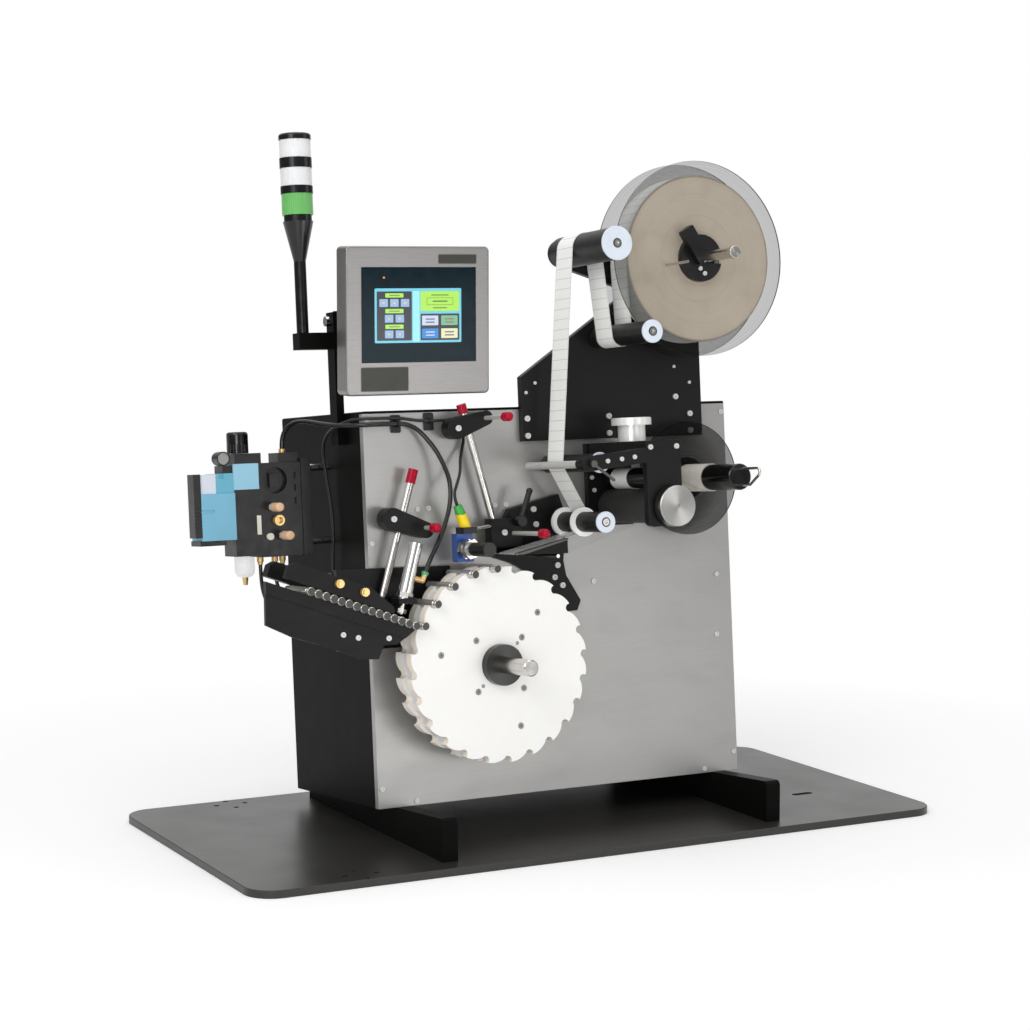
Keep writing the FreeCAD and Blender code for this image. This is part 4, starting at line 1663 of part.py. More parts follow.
# ---------------------------------------------------------------- all the pieces
base_node("base_plate", base_plate())
base_node("skids", *[skid(x) for x in SKID_X])
node("cabinet_shell", cabinet_shell())
node("rear_panel", rear_panel())
node("front_plate", front_plate())
node("machine_screws", *machine_screws())
node("supply_plate", supply_plate())
for roller_name, roller_spec in ROLLER_SPECS.items():
    collars = roller_collars() if roller_name == "collar_roller" else []
    node(roller_name, *roller(roller_spec, ROLLER_BACK), *collars)
node("dead_shafts", *dead_shafts())
node("reel_discs", *reel_discs())
node("reel_hub", *reel_hub())
node("label_roll", label_roll())
node("label_web", label_web())
node("star_discs", *star_discs())
node("star_hub", *star_hub())
node("wheel_tubes", *wheel_tubes())
node("chute_tubes", *chute_tubes())
node("chute_frame", *chute_frame())
node("hold_down_rails", *hold_down_rails())
node("clamp_arms", *clamp_arms())
node("clamp_rod_left", *clamp_rod_left())
node("clamp_rod_top", *clamp_rod_top())
for lever_name in LEVERS:
    node(lever_name, *ball_lever(lever_name))
node("ratchet_lever", ratchet_lever())
node("sensor_block", *sensor_block())
node("sensor_connector", *sensor_connector())
node("air_cylinder", *air_cylinder())
node("cylinder_pin", cylinder_pin())
node("peel_plate", *peel_plate())
node("web_plate", web_plate())
node("nip_bracket", nip_bracket())
node("drive_roller", drive_roller())
node("drive_knob", drive_knob())
node("nip_roller", nip_roller())
node("pressure_knob", pressure_knob())
node("guide_lever", guide_lever())
node("rewind_mandrel", rewind_mandrel())
node("rewind_disc", rewind_disc())
node("wound_liner", wound_liner())
node("wire_bail", wire_bail())
node("gearmotors", *gearmotors())
node("drive_belt", drive_belt())
node("hmi_post", hmi_post())
node("hmi_housing", *hmi_housing())
node("hmi_panel", *hmi_panel())
node("beacon_column", *beacon_column())
node("beacon_lenses", *beacon_lenses())
node("valve_manifold", *valve_manifold())
node("valve_body", *valve_body())
node("regulator_knob", regulator_knob())
node("filter_bowl", filter_bowl())
node("air_fittings", *air_fittings())
node("air_hoses", *cords(AIR_HOSES))
node("signal_cables", *cords(SIGNAL_CABLES))
node("tie_mounts", *tie_mounts())

os.makedirs("parts", exist_ok=True)
for node_name, solids in NODES.items():
    shape = solids[0] if len(solids) == 1 else Part.makeCompound(solids)
    shape.exportStep(f"parts/{node_name}.step")
print(len(NODES), "nodes,", sum(len(solids) for solids in NODES.values()), "solids")
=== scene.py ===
"""Looks of the label dispenser machine: camera, hoses, materials, panel screen, floor and light.

The CAD nodes keep their shape, apart from a hair's gap round the label roll. This script gives
every face its material, lays the hoses and the cable as smooth curves, and puts a generic screen
picture and blank nameplates on the panel. Places are written in the machine's own upright frame in
millimetres, as in the part's source; to_part() turns them into the part's frame in metres.
"""
import math

import bpy
from mathutils import Matrix, Vector


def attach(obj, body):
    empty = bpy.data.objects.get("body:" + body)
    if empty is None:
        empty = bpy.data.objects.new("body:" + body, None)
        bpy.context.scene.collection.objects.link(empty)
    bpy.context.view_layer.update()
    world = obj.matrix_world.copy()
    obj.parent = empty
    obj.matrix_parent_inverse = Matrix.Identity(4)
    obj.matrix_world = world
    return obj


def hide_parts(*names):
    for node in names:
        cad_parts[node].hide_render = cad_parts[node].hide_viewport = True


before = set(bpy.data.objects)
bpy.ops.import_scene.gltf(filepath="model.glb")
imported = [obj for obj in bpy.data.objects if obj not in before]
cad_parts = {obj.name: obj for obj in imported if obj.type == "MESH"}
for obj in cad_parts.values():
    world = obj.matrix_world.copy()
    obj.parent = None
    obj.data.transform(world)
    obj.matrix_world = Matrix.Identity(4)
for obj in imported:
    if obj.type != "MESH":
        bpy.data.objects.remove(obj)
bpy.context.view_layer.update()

# ---------------------------------------------------------------- frames
MM = 0.001
LEAN = math.radians(5.06)                    # how far the machine leans back
ORIGIN = Vector((-319.5, -95.0, 63.9))       # of the machine's frame, in the part's frame, in mm
UPRIGHT = Matrix.Rotation(LEAN, 3, "X")
LEANING = Matrix.Rotation(-LEAN, 3, "X")
TILT_AXIS = Vector((0, 81.5, 763.0))         # the panel's hinge; the panel itself hangs upright
PANEL_SHIFT = LEANING @ TILT_AXIS - TILT_AXIS + ORIGIN


def to_part(point):
    """A place in the machine's frame (mm), as one in the part's frame (m)."""
    return (LEANING @ Vector(point) + ORIGIN) * MM


def to_machine(point):
    """A place in the part's frame (m), as one in the machine's frame (mm)."""
    return UPRIGHT @ (Vector(point) / MM - ORIGIN)


def on_panel(x, y, z):
    """A place on the upright panel (mm), as one in the part's frame (m)."""
    return (Vector((x, y, z)) + PANEL_SHIFT) * MM


# ---------------------------------------------------------------- camera
CAMERA_PLACE = (-1.8546, -3.4796, 0.9017)
CAMERA_WAY = (0.4618, 0.8812, -0.1014)       # the direction it looks in
LENS_LENGTH = 85.0
SENSOR_WIDTH = 36.0
FAR_END = 60.0


def stand(thing, place, way):
    """Put a camera or a lamp at a place, facing along a direction."""
    thing.location = place
    thing.rotation_mode = "QUATERNION"
    thing.rotation_quaternion = Vector(way).to_track_quat("-Z", "Y")
    bpy.context.scene.collection.objects.link(thing)


camera_data = bpy.data.cameras.new("camera")
camera_data.lens = LENS_LENGTH
camera_data.sensor_width = SENSOR_WIDTH
camera_data.clip_end = FAR_END
camera = bpy.data.objects.new("camera", camera_data)
stand(camera, CAMERA_PLACE, CAMERA_WAY)
bpy.context.scene.camera = camera


# ---------------------------------------------------------------- colours
WHITE = (1.0, 1.0, 1.0, 1.0)


def rgb(red, green, blue):
    """A colour as it looks on a screen, 0 to 255, as a shader's linear values (the sRGB curve)."""
    linear = []
    for value in (red, green, blue):
        share = value / 255
        linear.append(share / 12.92 if share <= 0.04045 else ((share + 0.055) / 1.055) ** 2.4)
    return (*linear, 1.0)


def shaded(colour, factor):
    """A colour made darker or lighter by a factor."""
    return (*(min(1.0, channel * factor) for channel in colour[:3]), 1.0)


# ---------------------------------------------------------------- material kit
EVEN = (1, 1, 1)                 # a pattern as long in x as in y and z
BEVEL_SAMPLES = 4
MIX_SHARE, MIX_FIRST, MIX_SECOND, MIX_RESULT = 0, 6, 7, 2    # the Mix node's sockets for colours
EDGE_TURN = (0.80, 0.97)         # how well two normals agree on an edge made lighter (rubbed wear and a painted highlight), and off it


class Shading:
    """A tree of shader nodes, and short ways to add to it."""

    def __init__(self, tree):
        self.nodes = tree.nodes
        self.links = tree.links

    def feed(self, socket, value):
        """Link another node's output to a socket, or set the socket to a plain value."""
        if isinstance(value, bpy.types.NodeSocket):
            self.links.new(value, socket)
        else:
            socket.default_value = value

    def node(self, kind, **inputs):
        """A new node with some inputs fed; an input's name has _ for a space."""
        made = self.nodes.new("ShaderNode" + kind)
        for name, value in inputs.items():
            self.feed(made.inputs[name.replace("_", " ")], value)
        return made

    def math(self, operation, first, second=0.0):
        """A number worked out from one or two others."""
        made = self.node("Math")
        made.operation = operation
        self.feed(made.inputs[0], first)
        self.feed(made.inputs[1], second)
        return made.outputs[0]

    def vector_math(self, operation, first, second=(0.0, 0.0, 0.0)):
        """A number worked out from one or two directions."""
        made = self.node("VectorMath")
        made.operation = operation
        self.feed(made.inputs[0], first)
        self.feed(made.inputs[1], second)
        return made.outputs["Value"]

    def across(self, value, low, high, start=0.3, end=0.7, curve="LINEAR"):
        """From low to high while a value goes from start to end; a noise hardly leaves 0.3 to 0.7."""
        made = self.node("MapRange", Value=value, From_Min=start, From_Max=end, To_Min=low, To_Max=high)
        made.interpolation_type = curve
        return made.outputs["Result"]


class Finish(Shading):
    """A material under construction: a principled surface and the nodes that feed it."""

    def __init__(self, name, colour, roughness, metallic=0.0, specular=0.5):
        self.material = bpy.data.materials.new(name)
        self.material.use_nodes = True
        super().__init__(self.material.node_tree)
        self.surface = self.nodes["Principled BSDF"]
        self.colour = colour
        self.roughness = roughness
        self.colour_out = None
        self.set(Base_Color=colour, Roughness=roughness, Metallic=metallic, Specular_IOR_Level=specular)
        self.place = self.node(
            "Mapping",
            Vector=self.node("TexCoord").outputs["Object"],
            Rotation=(LEAN, 0, 0),
            Scale=(1 / MM, 1 / MM, 1 / MM),
            Location=-(UPRIGHT @ ORIGIN),
        ).outputs["Vector"]

    def set(self, **inputs):
        """Set or feed the surface's own inputs."""
        for name, value in inputs.items():
            self.feed(self.surface.inputs[name.replace("_", " ")], value)
        return self

    def place_parts(self):
        """The place's X, Y and Z in the machine's frame, in millimetres."""
        return self.node("SeparateXYZ", Vector=self.place).outputs

    def noise(self, scale, stretch=EVEN, detail=3.0):
        """A noise with so many features in a millimetre; a low stretch draws them out."""
        place = self.node("Mapping", Vector=self.place, Scale=stretch).outputs["Vector"]
        return self.node("TexNoise", Vector=place, Scale=scale, Detail=detail).outputs["Fac"]

    def rings(self, distance, per_mm, detail=3.0):
        """A noise that changes only with a distance, so many times in a millimetre."""
        made = self.node("TexNoise", Scale=1.0, Detail=detail)
        made.noise_dimensions = "1D"
        self.feed(made.inputs["W"], self.math("MULTIPLY", distance, per_mm))
        return made.outputs["Fac"]

    def waves(self, pitch):
        """A smooth wave between -1 and 1 along the machine's depth."""
        return self.math("SINE", self.math("MULTIPLY", self.place_parts()["Y"], 2 * math.pi / pitch))

    def distance_from_axis(self, x, z):
        """How far a place is from a line along the machine's depth, in millimetres."""
        parts = self.place_parts()
        across = self.math("SUBTRACT", parts["X"], x)
        up = self.math("SUBTRACT", parts["Z"], z)
        squares = self.math("ADD", self.math("MULTIPLY", across, across), self.math("MULTIPLY", up, up))
        return self.math("SQRT", squares)

    def angle_about(self, x, other, side):
        """A place's angle about a line, from its x and from its y or z, whichever side names."""
        parts = self.place_parts()
        away = self.math("SUBTRACT", parts[side], other)
        return self.math("ARCTAN2", away, self.math("SUBTRACT", parts["X"], x))

    def turned_about(self, x, z, amount):
        """Stretch highlights across tool marks that run round a line along the machine's depth."""
        parts = self.place_parts()
        across = self.math("SUBTRACT", x, parts["X"])
        up = self.math("SUBTRACT", parts["Z"], z)
        round_way = self.node("CombineXYZ", X=up, Y=0.0, Z=across).outputs["Vector"]
        return self.set(Tangent=round_way, Anisotropic=amount)

    def lay(self, share, first, second):
        """Make the surface's colour a blend of two."""
        made = self.node("Mix")
        made.data_type = "RGBA"
        for index, value in ((MIX_SHARE, share), (MIX_FIRST, first), (MIX_SECOND, second)):
            self.feed(made.inputs[index], value)
        self.colour_out = made.outputs[MIX_RESULT]
        return self.set(Base_Color=self.colour_out)

    def tint(self, share, colour):
        """Lay a second colour over what the surface has so far."""
        return self.lay(share, self.colour_out or self.colour, colour)

    def mottle(self, amount, scale):
        """Broad light and dark patches."""
        patches = self.across(self.noise(scale), 0.0, 1.0, start=0.2, end=0.8)
        return self.lay(patches, shaded(self.colour, 1 - amount), shaded(self.colour, 1 + amount))

    def smudge(self, spread, scale, stretch=EVEN):
        """Uneven gloss."""
        low, high = self.roughness - spread, self.roughness + spread
        return self.set(Roughness=self.across(self.noise(scale, stretch), low, high, start=0.2, end=0.8))

    def soft_normal(self, radius):
        """The surface's direction, with its edges rounded by so many millimetres."""
        made = self.node("Bevel", Radius=radius * MM)
        made.samples = BEVEL_SAMPLES
        return made.outputs[0]

    def relief(self, height, depth, edge=0.5):
        """Bump from a height between 0 and 1, so many millimetres deep, over softened edges if any."""
        bump = self.node("Bump", Height=height, Strength=1.0, Distance=depth * MM)
        if edge > 0:
            self.feed(bump.inputs["Normal"], self.soft_normal(edge))
        return self.set(Normal=bump.outputs["Normal"])

    def grain(self, scale, depth, stretch=EVEN, edge=0.5):
        """Fine bumps."""
        return self.relief(self.noise(scale, stretch, detail=2.0), depth, edge)

    def worn_and_highlit_edges(self, colour, amount, radius=0.8):
        """Edges made lighter, partly rubbed wear and partly a painted highlight, where the softened normal
        turns away from the flat one.
        """
        flat = self.node("NewGeometry").outputs["Normal"]
        turn = self.vector_math("DOT_PRODUCT", self.soft_normal(radius), flat)
        edge = self.across(turn, 1.0, 0.0, *EDGE_TURN)
        broken = self.math("MULTIPLY", edge, self.across(self.noise(0.15), 0.3, 1.0))
        return self.tint(self.math("MULTIPLY", broken, amount), colour)


# ---------------------------------------------------------------- kinds of material
# x and z of the lines along the machine's depth that finishes are laid about
REEL = (565.0, 847.0)
STAR = (174.0, 217.8)
DRIVE = (431.0, 452.0)
NIP = (431.0, 496.2)
REWIND = (562.3, 492.3)
GAUGE = (-186.0, 554.0)
BEACON = (-59.0, 81.5)           # x and y of the stack light's upright line
BEACON_RIBS = 48.0

ROLL_R = 131.0                   # the roll's radius, a little inside its outermost turn
WEB_Y = -65.0                    # the middle of the label web
LABEL_PITCH = 16.0
LABEL_GAP = (0.05, 0.10)         # where the line at a label's end fades, as shares of the pitch
LABEL_EDGE = (23.0, 24.0)        # where the labels give way to bare liner, from the web's middle


def painted(name, colour):
    """Powder coat: a fine orange peel and slightly lighter edges, partly rubbed and partly a painted
    highlight.
    """
    paint = Finish(name, colour, 0.46, specular=0.14).set(IOR=1.25).mottle(0.06, scale=0.02)
    paint.worn_and_highlit_edges(rgb(62, 62, 61), 0.3).smudge(0.02, scale=0.03)
    return paint.grain(0.9, depth=0.03).material


def anodised(name):
    """Black anodised aluminium with machining marks and paler edges, partly worn and partly a painted
    highlight.
    """
    paint = Finish(name, rgb(18, 18, 18), 0.42, metallic=0.1, specular=0.22).mottle(0.12, scale=0.03)
    paint.worn_and_highlit_edges(rgb(118, 118, 116), 0.4, radius=0.6).smudge(0.05, scale=0.06, stretch=(0.2, 1, 1))
    return paint.grain(0.7, depth=0.012, stretch=(0.1, 1, 1)).material


def polished(name, colour, roughness, metallic=1.0, edge=0.0):
    """Bright ground metal with faint scratches; with an edge radius, its edges are softened."""
    paint = Finish(name, colour, roughness, metallic).mottle(0.05, scale=0.05)
    paint.smudge(0.012, scale=0.12, stretch=(1, 0.15, 1))
    if edge > 0:
        paint.grain(0.9, depth=0.0006, stretch=(1, 0.1, 1), edge=edge)
    return paint.material


def turned(name, x, z, colour, roughness):
    """A lathe-turned face: fine rings about a line along the machine's depth."""
    paint = Finish(name, colour, roughness, metallic=1.0).mottle(0.04, scale=0.05)
    rings = paint.rings(paint.distance_from_axis(x, z), per_mm=1.1, detail=2.0)
    paint.tint(paint.across(rings, 0.0, 0.5), shaded(colour, 0.72))
    paint.turned_about(x, z, amount=0.75).smudge(0.05, scale=0.08)
    return paint.relief(rings, depth=0.006).material


def plastic(name, colour, roughness=0.35, specular=0.5, depth=0.02, edge=0.5):
    """A moulded piece: slightly uneven in colour and gloss, with a grain so many millimetres deep."""
    paint = Finish(name, colour, roughness, specular=specular).mottle(0.05, scale=0.03)
    return paint.smudge(0.06, scale=0.06).grain(1.6, depth, edge=edge).material


def brushed_plate(name):
    """The front plate: brushed along its length, with handling marks."""
    paint = Finish(name, rgb(165, 164, 162), 0.38, metallic=0.65).mottle(0.03, scale=0.006)
    lines = paint.noise(1.3, stretch=(0.012, 1, 1), detail=4.0)
    clouds = paint.noise(0.01, stretch=(1, 1, 2.2), detail=5.0)
    scratches = paint.noise(2.6, stretch=(0.4, 1, 1), detail=2.0)
    paint.tint(paint.across(lines, 0.0, 0.3), rgb(182, 181, 179))
    paint.tint(paint.across(clouds, 0.0, 0.16, start=0.5, end=0.8), rgb(122, 121, 119))
    paint.tint(paint.across(scratches, 0.0, 0.12), rgb(120, 119, 117))
    paint.smudge(0.05, scale=0.02, stretch=(0.3, 1, 1))
    return paint.relief(lines, depth=0.01, edge=0.6).material


def stainless(name):
    """The panel's brushed steel box."""
    paint = Finish(name, rgb(136, 134, 133), 0.34, metallic=0.75).mottle(0.02, scale=0.01)
    lines = paint.noise(1.5, stretch=(0.02, 1, 1), detail=4.0)
    paint.tint(paint.across(lines, 0.0, 0.3), rgb(168, 165, 162)).smudge(0.01, scale=0.02)
    return paint.relief(lines, depth=0.006, edge=1.2).material


def base_paint(name):
    """The base plate's satin coat, with scuffs from what has stood on it."""
    paint = Finish(name, rgb(42, 41, 38), 0.34).mottle(0.1, scale=0.004)
    scuffs = paint.noise(0.3, stretch=(0.12, 1, 1), detail=6.0)
    paint.tint(paint.across(scuffs, 0.0, 0.14, start=0.62, end=0.85), rgb(84, 82, 78))
    paint.tint(paint.across(paint.noise(0.9), 0.0, 0.3), rgb(33, 32, 30))
    # lighter edges: partly rubbed wear, partly a painted highlight
    paint.worn_and_highlit_edges(rgb(70, 69, 66), 0.15).smudge(0.04, scale=0.01)
    return paint.grain(0.9, depth=0.03).material


def wheel_plastic(name, colour, shade):
    """The white wheel: milled polyethylene with faint cutter marks."""
    paint = Finish(name, colour, 0.58, specular=0.18).mottle(0.012, scale=0.01)
    marks = paint.noise(0.3, stretch=(1, 0.05, 1), detail=4.0)
    paint.tint(paint.across(marks, 0.0, 0.10, start=0.5, end=0.75), shade)
    paint.set(Subsurface_Weight=0.08, Subsurface_Scale=0.004).smudge(0.06, scale=0.05)
    return paint.grain(0.8, depth=0.02).material


def clear_disc(name, colour, alpha, x, z, flat_share=1.0):
    """A tinted disc with fine circular scratches, clearer where it lies flat against the roll."""
    paint = Finish(name, colour, 0.1, specular=0.2).mottle(0.04, scale=0.02)
    away = paint.distance_from_axis(x, z)
    scratches = paint.rings(away, per_mm=0.35)
    tinted = paint.across(scratches, alpha * 0.94, alpha * 1.06)
    share = paint.across(away, flat_share, 1.0, start=ROLL_R - 1, end=ROLL_R + 3)
    paint.set(Alpha=paint.math("MULTIPLY", tinted, share)).smudge(0.03, scale=0.04)
    return paint.relief(scratches, depth=0.002, edge=0.0).material


def roll_side(name, x, z, colour, dark, light):
    """The edge of a wound roll: fine rings, and a few turns that stand out."""
    paint = Finish(name, colour, 0.55, specular=0.3).mottle(0.05, scale=0.012)
    away = paint.distance_from_axis(x, z)
    turns = paint.rings(away, per_mm=0.55)
    paint.tint(paint.across(turns, 0.0, 0.22), dark)
    paint.tint(paint.across(paint.rings(away, per_mm=0.08), 0.0, 0.3), light)
    paint.tint(paint.across(paint.noise(0.03), 0.0, 0.22, start=0.45, end=0.7), dark)
    return paint.relief(turns, depth=0.01, edge=0.0).material


def label_strip(name, along):
    """Labels on their liner, with a faint line at each label's end; along is "Z" or "round"."""
    paint = Finish(name, rgb(250, 250, 247), 0.5, specular=0.3).mottle(0.015, scale=0.03)
    if along == "round":
        run = paint.math("MULTIPLY", paint.angle_about(*REEL, "Z"), ROLL_R)
    else:
        run = paint.place_parts()[along]
    turns = paint.math("FRACT", paint.math("DIVIDE", run, LABEL_PITCH))
    gap = paint.across(turns, 1.0, 0.0, *LABEL_GAP)
    off_middle = paint.math("ABSOLUTE", paint.math("ADD", paint.place_parts()["Y"], -WEB_Y))
    edge = paint.across(off_middle, 0.0, 0.5, *LABEL_EDGE)
    paint.tint(paint.math("MULTIPLY", gap, 0.4), rgb(150, 150, 148))
    paint.tint(edge, rgb(214, 214, 210)).smudge(0.05, scale=0.1)
    return paint.grain(1.5, depth=0.01, edge=0.0).material


def liner(name, colour, alpha):
    """The web without its labels, as clear as alpha says."""
    paint = Finish(name, colour, 0.25).mottle(0.04, scale=0.04).set(Alpha=alpha)
    return paint.smudge(0.05, scale=0.08).grain(0.6, depth=0.01, edge=0.0).material


def lens(name, colour, alpha, painted_glow=0.0):
    """A stack light's lens, ribbed up and down inside, with a faint painted glow where one is given."""
    paint = Finish(name, colour, 0.16).mottle(0.05, scale=0.05)
    ribs = paint.math("SINE", paint.math("MULTIPLY", paint.angle_about(*BEACON, "Y"), BEACON_RIBS))
    paint.set(Alpha=alpha, Emission_Color=colour, Emission_Strength=painted_glow)
    return paint.relief(paint.across(ribs, 0.0, 1.0, start=-1.0, end=1.0), depth=0.25, edge=0.0).material


def lit(name, colour, strength=0.75):
    """A lit spot of a screen or a lamp, under glass."""
    paint = Finish(name, shaded(colour, 0.25), 0.22).mottle(0.05, scale=0.3)
    paint.set(Emission_Color=colour, Emission_Strength=strength).smudge(0.01, scale=0.05)
    return paint.grain(0.5, depth=0.003, edge=0.0).material


def threaded(name, colour, pitch):
    """A screw thread along the machine's depth, with painted shade in its roots."""
    paint = Finish(name, colour, 0.22, metallic=1.0).mottle(0.05, scale=0.1)
    wave = paint.waves(pitch)
    root_shade = paint.across(wave, 1.0, 0.0, start=-1.0, end=0.0)
    # painted shade: the thread's roots are darkened
    paint.tint(paint.math("MULTIPLY", root_shade, 0.5), rgb(70, 70, 72))
    return paint.relief(paint.across(wave, 0.0, 1.0, start=-1.0, end=1.0), depth=0.2).material


def ribbed_rod(name, pitch):
    """A bright guide rod with fine grooves round it, along the machine's depth, with painted shade in the
    grooves.
    """
    paint = Finish(name, rgb(222, 220, 215), 0.34, metallic=0.35).mottle(0.05, scale=0.1)
    wave = paint.waves(pitch)
    # painted shade: the grooves are darkened
    paint.tint(paint.across(wave, 0.45, 0.0, start=-1.0, end=-0.2), rgb(140, 138, 134))
    return paint.relief(paint.across(wave, 0.0, 1.0, start=-1.0, end=1.0), depth=0.3, edge=0.0).material


# ---------------------------------------------------------------- the materials
# plastic: colour, roughness, specular, depth of the grain, softened edge
# polished: colour, roughness, metallic, softened edge
# turned: the line it was turned about, colour, roughness
# liner and lens: colour, alpha; a lens may have a faint painted glow
BLACK_PAINT = painted("black_powder_coat", rgb(12, 12, 11))
BLACK_PLATE = anodised("black_anodised")
BLACK_PLASTIC = plastic("black_plastic", rgb(18, 18, 18), 0.34, 0.35)
BLACK_GLOSS = plastic("black_gloss", rgb(14, 14, 14), 0.18, 0.5, 0.002)
BLACK_HOSE = plastic("black_hose", rgb(18, 18, 17), 0.22, 0.5, 0.004, 0.0)
BLACK_RUBBER = plastic("black_rubber", rgb(26, 26, 25), 0.42, 0.35, 0.03)
CABLE_RUBBER = plastic("cable_rubber", rgb(30, 30, 30), 0.38, 0.4, 0.01, 0.0)
GREY_RUBBER = plastic("grey_rubber", rgb(58, 58, 57), 0.6, 0.25, 0.05)
FRONT_PLATE = brushed_plate("brushed_front_plate")
BASE_COAT = base_paint("base_satin_coat")
STEEL = polished("ground_steel", rgb(206, 203, 198), 0.21)
CHROME = polished("chrome", rgb(216, 215, 214), 0.17)
LEVER_STEEL = polished("lever_steel", rgb(216, 213, 208), 0.26, 0.5)
DARK_STEEL = polished("dark_steel", rgb(96, 95, 92), 0.42, 1.0, 0.4)
BOLT_STEEL = polished("sunk_bolts", rgb(146, 144, 139), 0.4, 0.3, 0.3)
SCREW_STEEL = polished("zinc_screws", rgb(214, 213, 210), 0.4, 0.2, 0.3)
BRASS = polished("brass", rgb(216, 182, 122), 0.3, 0.6, 0.3)
BRONZE = plastic("sintered_bronze", rgb(232, 190, 152), 0.55, 0.4, 0.12)
WHEEL_WHITE = wheel_plastic("wheel_white", rgb(247, 246, 243), rgb(234, 231, 224))
# the flanks: a brighter, cream-tinted copy of the wheel's white, painted light that lifts flanks standing in
# shade
WHEEL_FLANK_LIT = wheel_plastic("wheel_flank_lit", rgb(252, 243, 231), rgb(238, 226, 212))
WHITE_CAP = plastic("white_cap", rgb(218, 226, 237), 0.3, 0.5, 0.005)
WHITE_COLLAR = plastic("white_collar", rgb(248, 248, 246), 0.35, 0.4, 0.01)
TUBE_METAL = polished("tube_metal", rgb(190, 187, 182), 0.2, 0.6)
# the tubes' front ends: a dark non-metal finish on metal tubes, painted shade
TUBE_END_SHADE = plastic("tube_end_shade", rgb(70, 69, 66), 0.4, 0.3, 0.01, 0.0)
RED_CAP = plastic("red_cap", rgb(164, 4, 40), 0.26, 0.2, 0.002)
VALVE_BLUE = plastic("valve_blue", rgb(120, 182, 208), 0.42, 0.35)
VALVE_TEAL = plastic("valve_teal", rgb(104, 176, 200), 0.42, 0.35)
VALVE_LIGHT = plastic("valve_light_blue", rgb(150, 200, 222), 0.42, 0.35)
VALVE_PALE = plastic("valve_pale", rgb(214, 220, 230), 0.4, 0.4)
MANIFOLD_BLACK = plastic("manifold_black", rgb(22, 22, 23), 0.34, 0.35, 0.03)
PALE_PLASTIC = plastic("pale_plastic", rgb(222, 219, 206), 0.4)
SENSOR_BLUE = plastic("sensor_blue", rgb(26, 78, 160), 0.32)
YELLOW = plastic("plug_yellow", rgb(246, 214, 10), 0.32)
GREEN = plastic("plug_green", rgb(62, 160, 66), 0.32)
RING_GREEN = plastic("push_in_green", rgb(60, 164, 112), 0.32)
PANEL_STEEL = stainless("panel_steel")
BEZEL_BLACK = plastic("bezel_black", rgb(18, 36, 43), 0.12, 0.08, 0.001)
SCREEN_CYAN = lit("screen_cyan", rgb(112, 206, 230))
LAMP_ORANGE = lit("lamp_orange", rgb(240, 130, 30), 1.0)
THREAD = threaded("sensor_thread", rgb(206, 206, 208), 1.5)
ROD_RIBBED = ribbed_rod("guide_rod_ribbed", 2.4)
DRIVE_KNOB = turned("knob_turned", *DRIVE, rgb(178, 177, 174), 0.34)
SHAFT_END = turned("shaft_end_turned", *STAR, rgb(150, 148, 145), 0.3)
REEL_SHAFT_END = turned("reel_shaft_turned", *REEL, rgb(196, 194, 190), 0.26)
BOSS_BLACK = turned("boss_turned", *STAR, rgb(62, 62, 60), 0.3)
PRESSURE_KNOB = polished("knob_bright", rgb(250, 249, 246), 0.3, 0.35, 0.5)
REEL_CLEAR = clear_disc("reel_clear", rgb(28, 30, 26), 0.28, *REEL, 0.36)
REEL_RIM = plastic("reel_rim", rgb(74, 76, 72), 0.2, 0.5, 0.004, 0.0)
REWIND_SMOKED = clear_disc("rewind_smoked", rgb(20, 20, 19), 0.48, *REWIND)
REWIND_RIM = plastic("rewind_rim", rgb(52, 52, 51), 0.2, 0.5, 0.004, 0.0)
ROLL_SIDE = roll_side(
    "label_roll_side", *REEL, rgb(208, 196, 178), rgb(172, 158, 140), rgb(216, 206, 190))
LINER_SIDE = roll_side(
    "wound_liner_side", *REWIND, rgb(208, 202, 190), rgb(176, 168, 152), rgb(222, 218, 208))
LABELS_UP = label_strip("labels_upright", "Z")
LABELS_ROUND = label_strip("labels_on_roll", "round")
CLEAR_LINER = liner("clear_liner", rgb(225, 228, 228), 0.035)
VEILED_LINER = liner("veiled_liner", rgb(206, 207, 205), 0.4)
BEIGE_LINER = liner("beige_liner", rgb(248, 244, 235), 1.0)
# the lenses' faint glow is painted light that brightens them
LENS_GREEN = lens("lens_green", rgb(106, 178, 100), 1.0, 0.08)
LENS_CLEAR = lens("lens_clear", rgb(240, 241, 243), 0.86, 0.04)
BOWL_CLEAR = lens("bowl_clear", rgb(226, 229, 226), 0.3)
GAUGE_FACE = plastic("gauge_face", rgb(150, 150, 146), 0.16)


# ---------------------------------------------------------------- which face has which finish
# A test looks at the middle of a face, in the machine's frame. Its limits lie on or just beside the
# edges where one finish gives way to another.
HAIR = 0.3


def dress(node, base, *rules):
    """Give a CAD node its finish. A rule is another finish and a test; the first that fits counts."""
    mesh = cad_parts[node].data
    mesh.materials.clear()
    mesh.materials.append(base)
    for finish, _ in rules:
        mesh.materials.append(finish)
    for face in mesh.polygons:
        place = to_machine(face.center)
        fitting = [index for index, (_, test) in enumerate(rules, 1) if test(place)]
        face.material_index = fitting[0] if fitting else 0


def stand_free(node, gap):
    """Draw a node's faces in by a hair, out of the planes that they share with its neighbours."""
    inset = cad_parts[node].modifiers.new("hair_gap", "DISPLACE")
    inset.mid_level = 0.0
    inset.strength = -gap * MM


def where(**limits):
    """A test such as where(x_over=540, y_under=-36), in which every limit has to hold."""
    checks = [(*name.split("_"), limit) for name, limit in limits.items()]

    def test(point):
        return all(
            getattr(point, axis) > limit if side == "over" else getattr(point, axis) < limit
            for axis, side, limit in checks
        )
    return test


def near_axis(x, z, radius):
    """A test for faces within a radius of a line along the machine's depth."""
    return lambda point: math.hypot(point.x - x, point.z - z) < radius


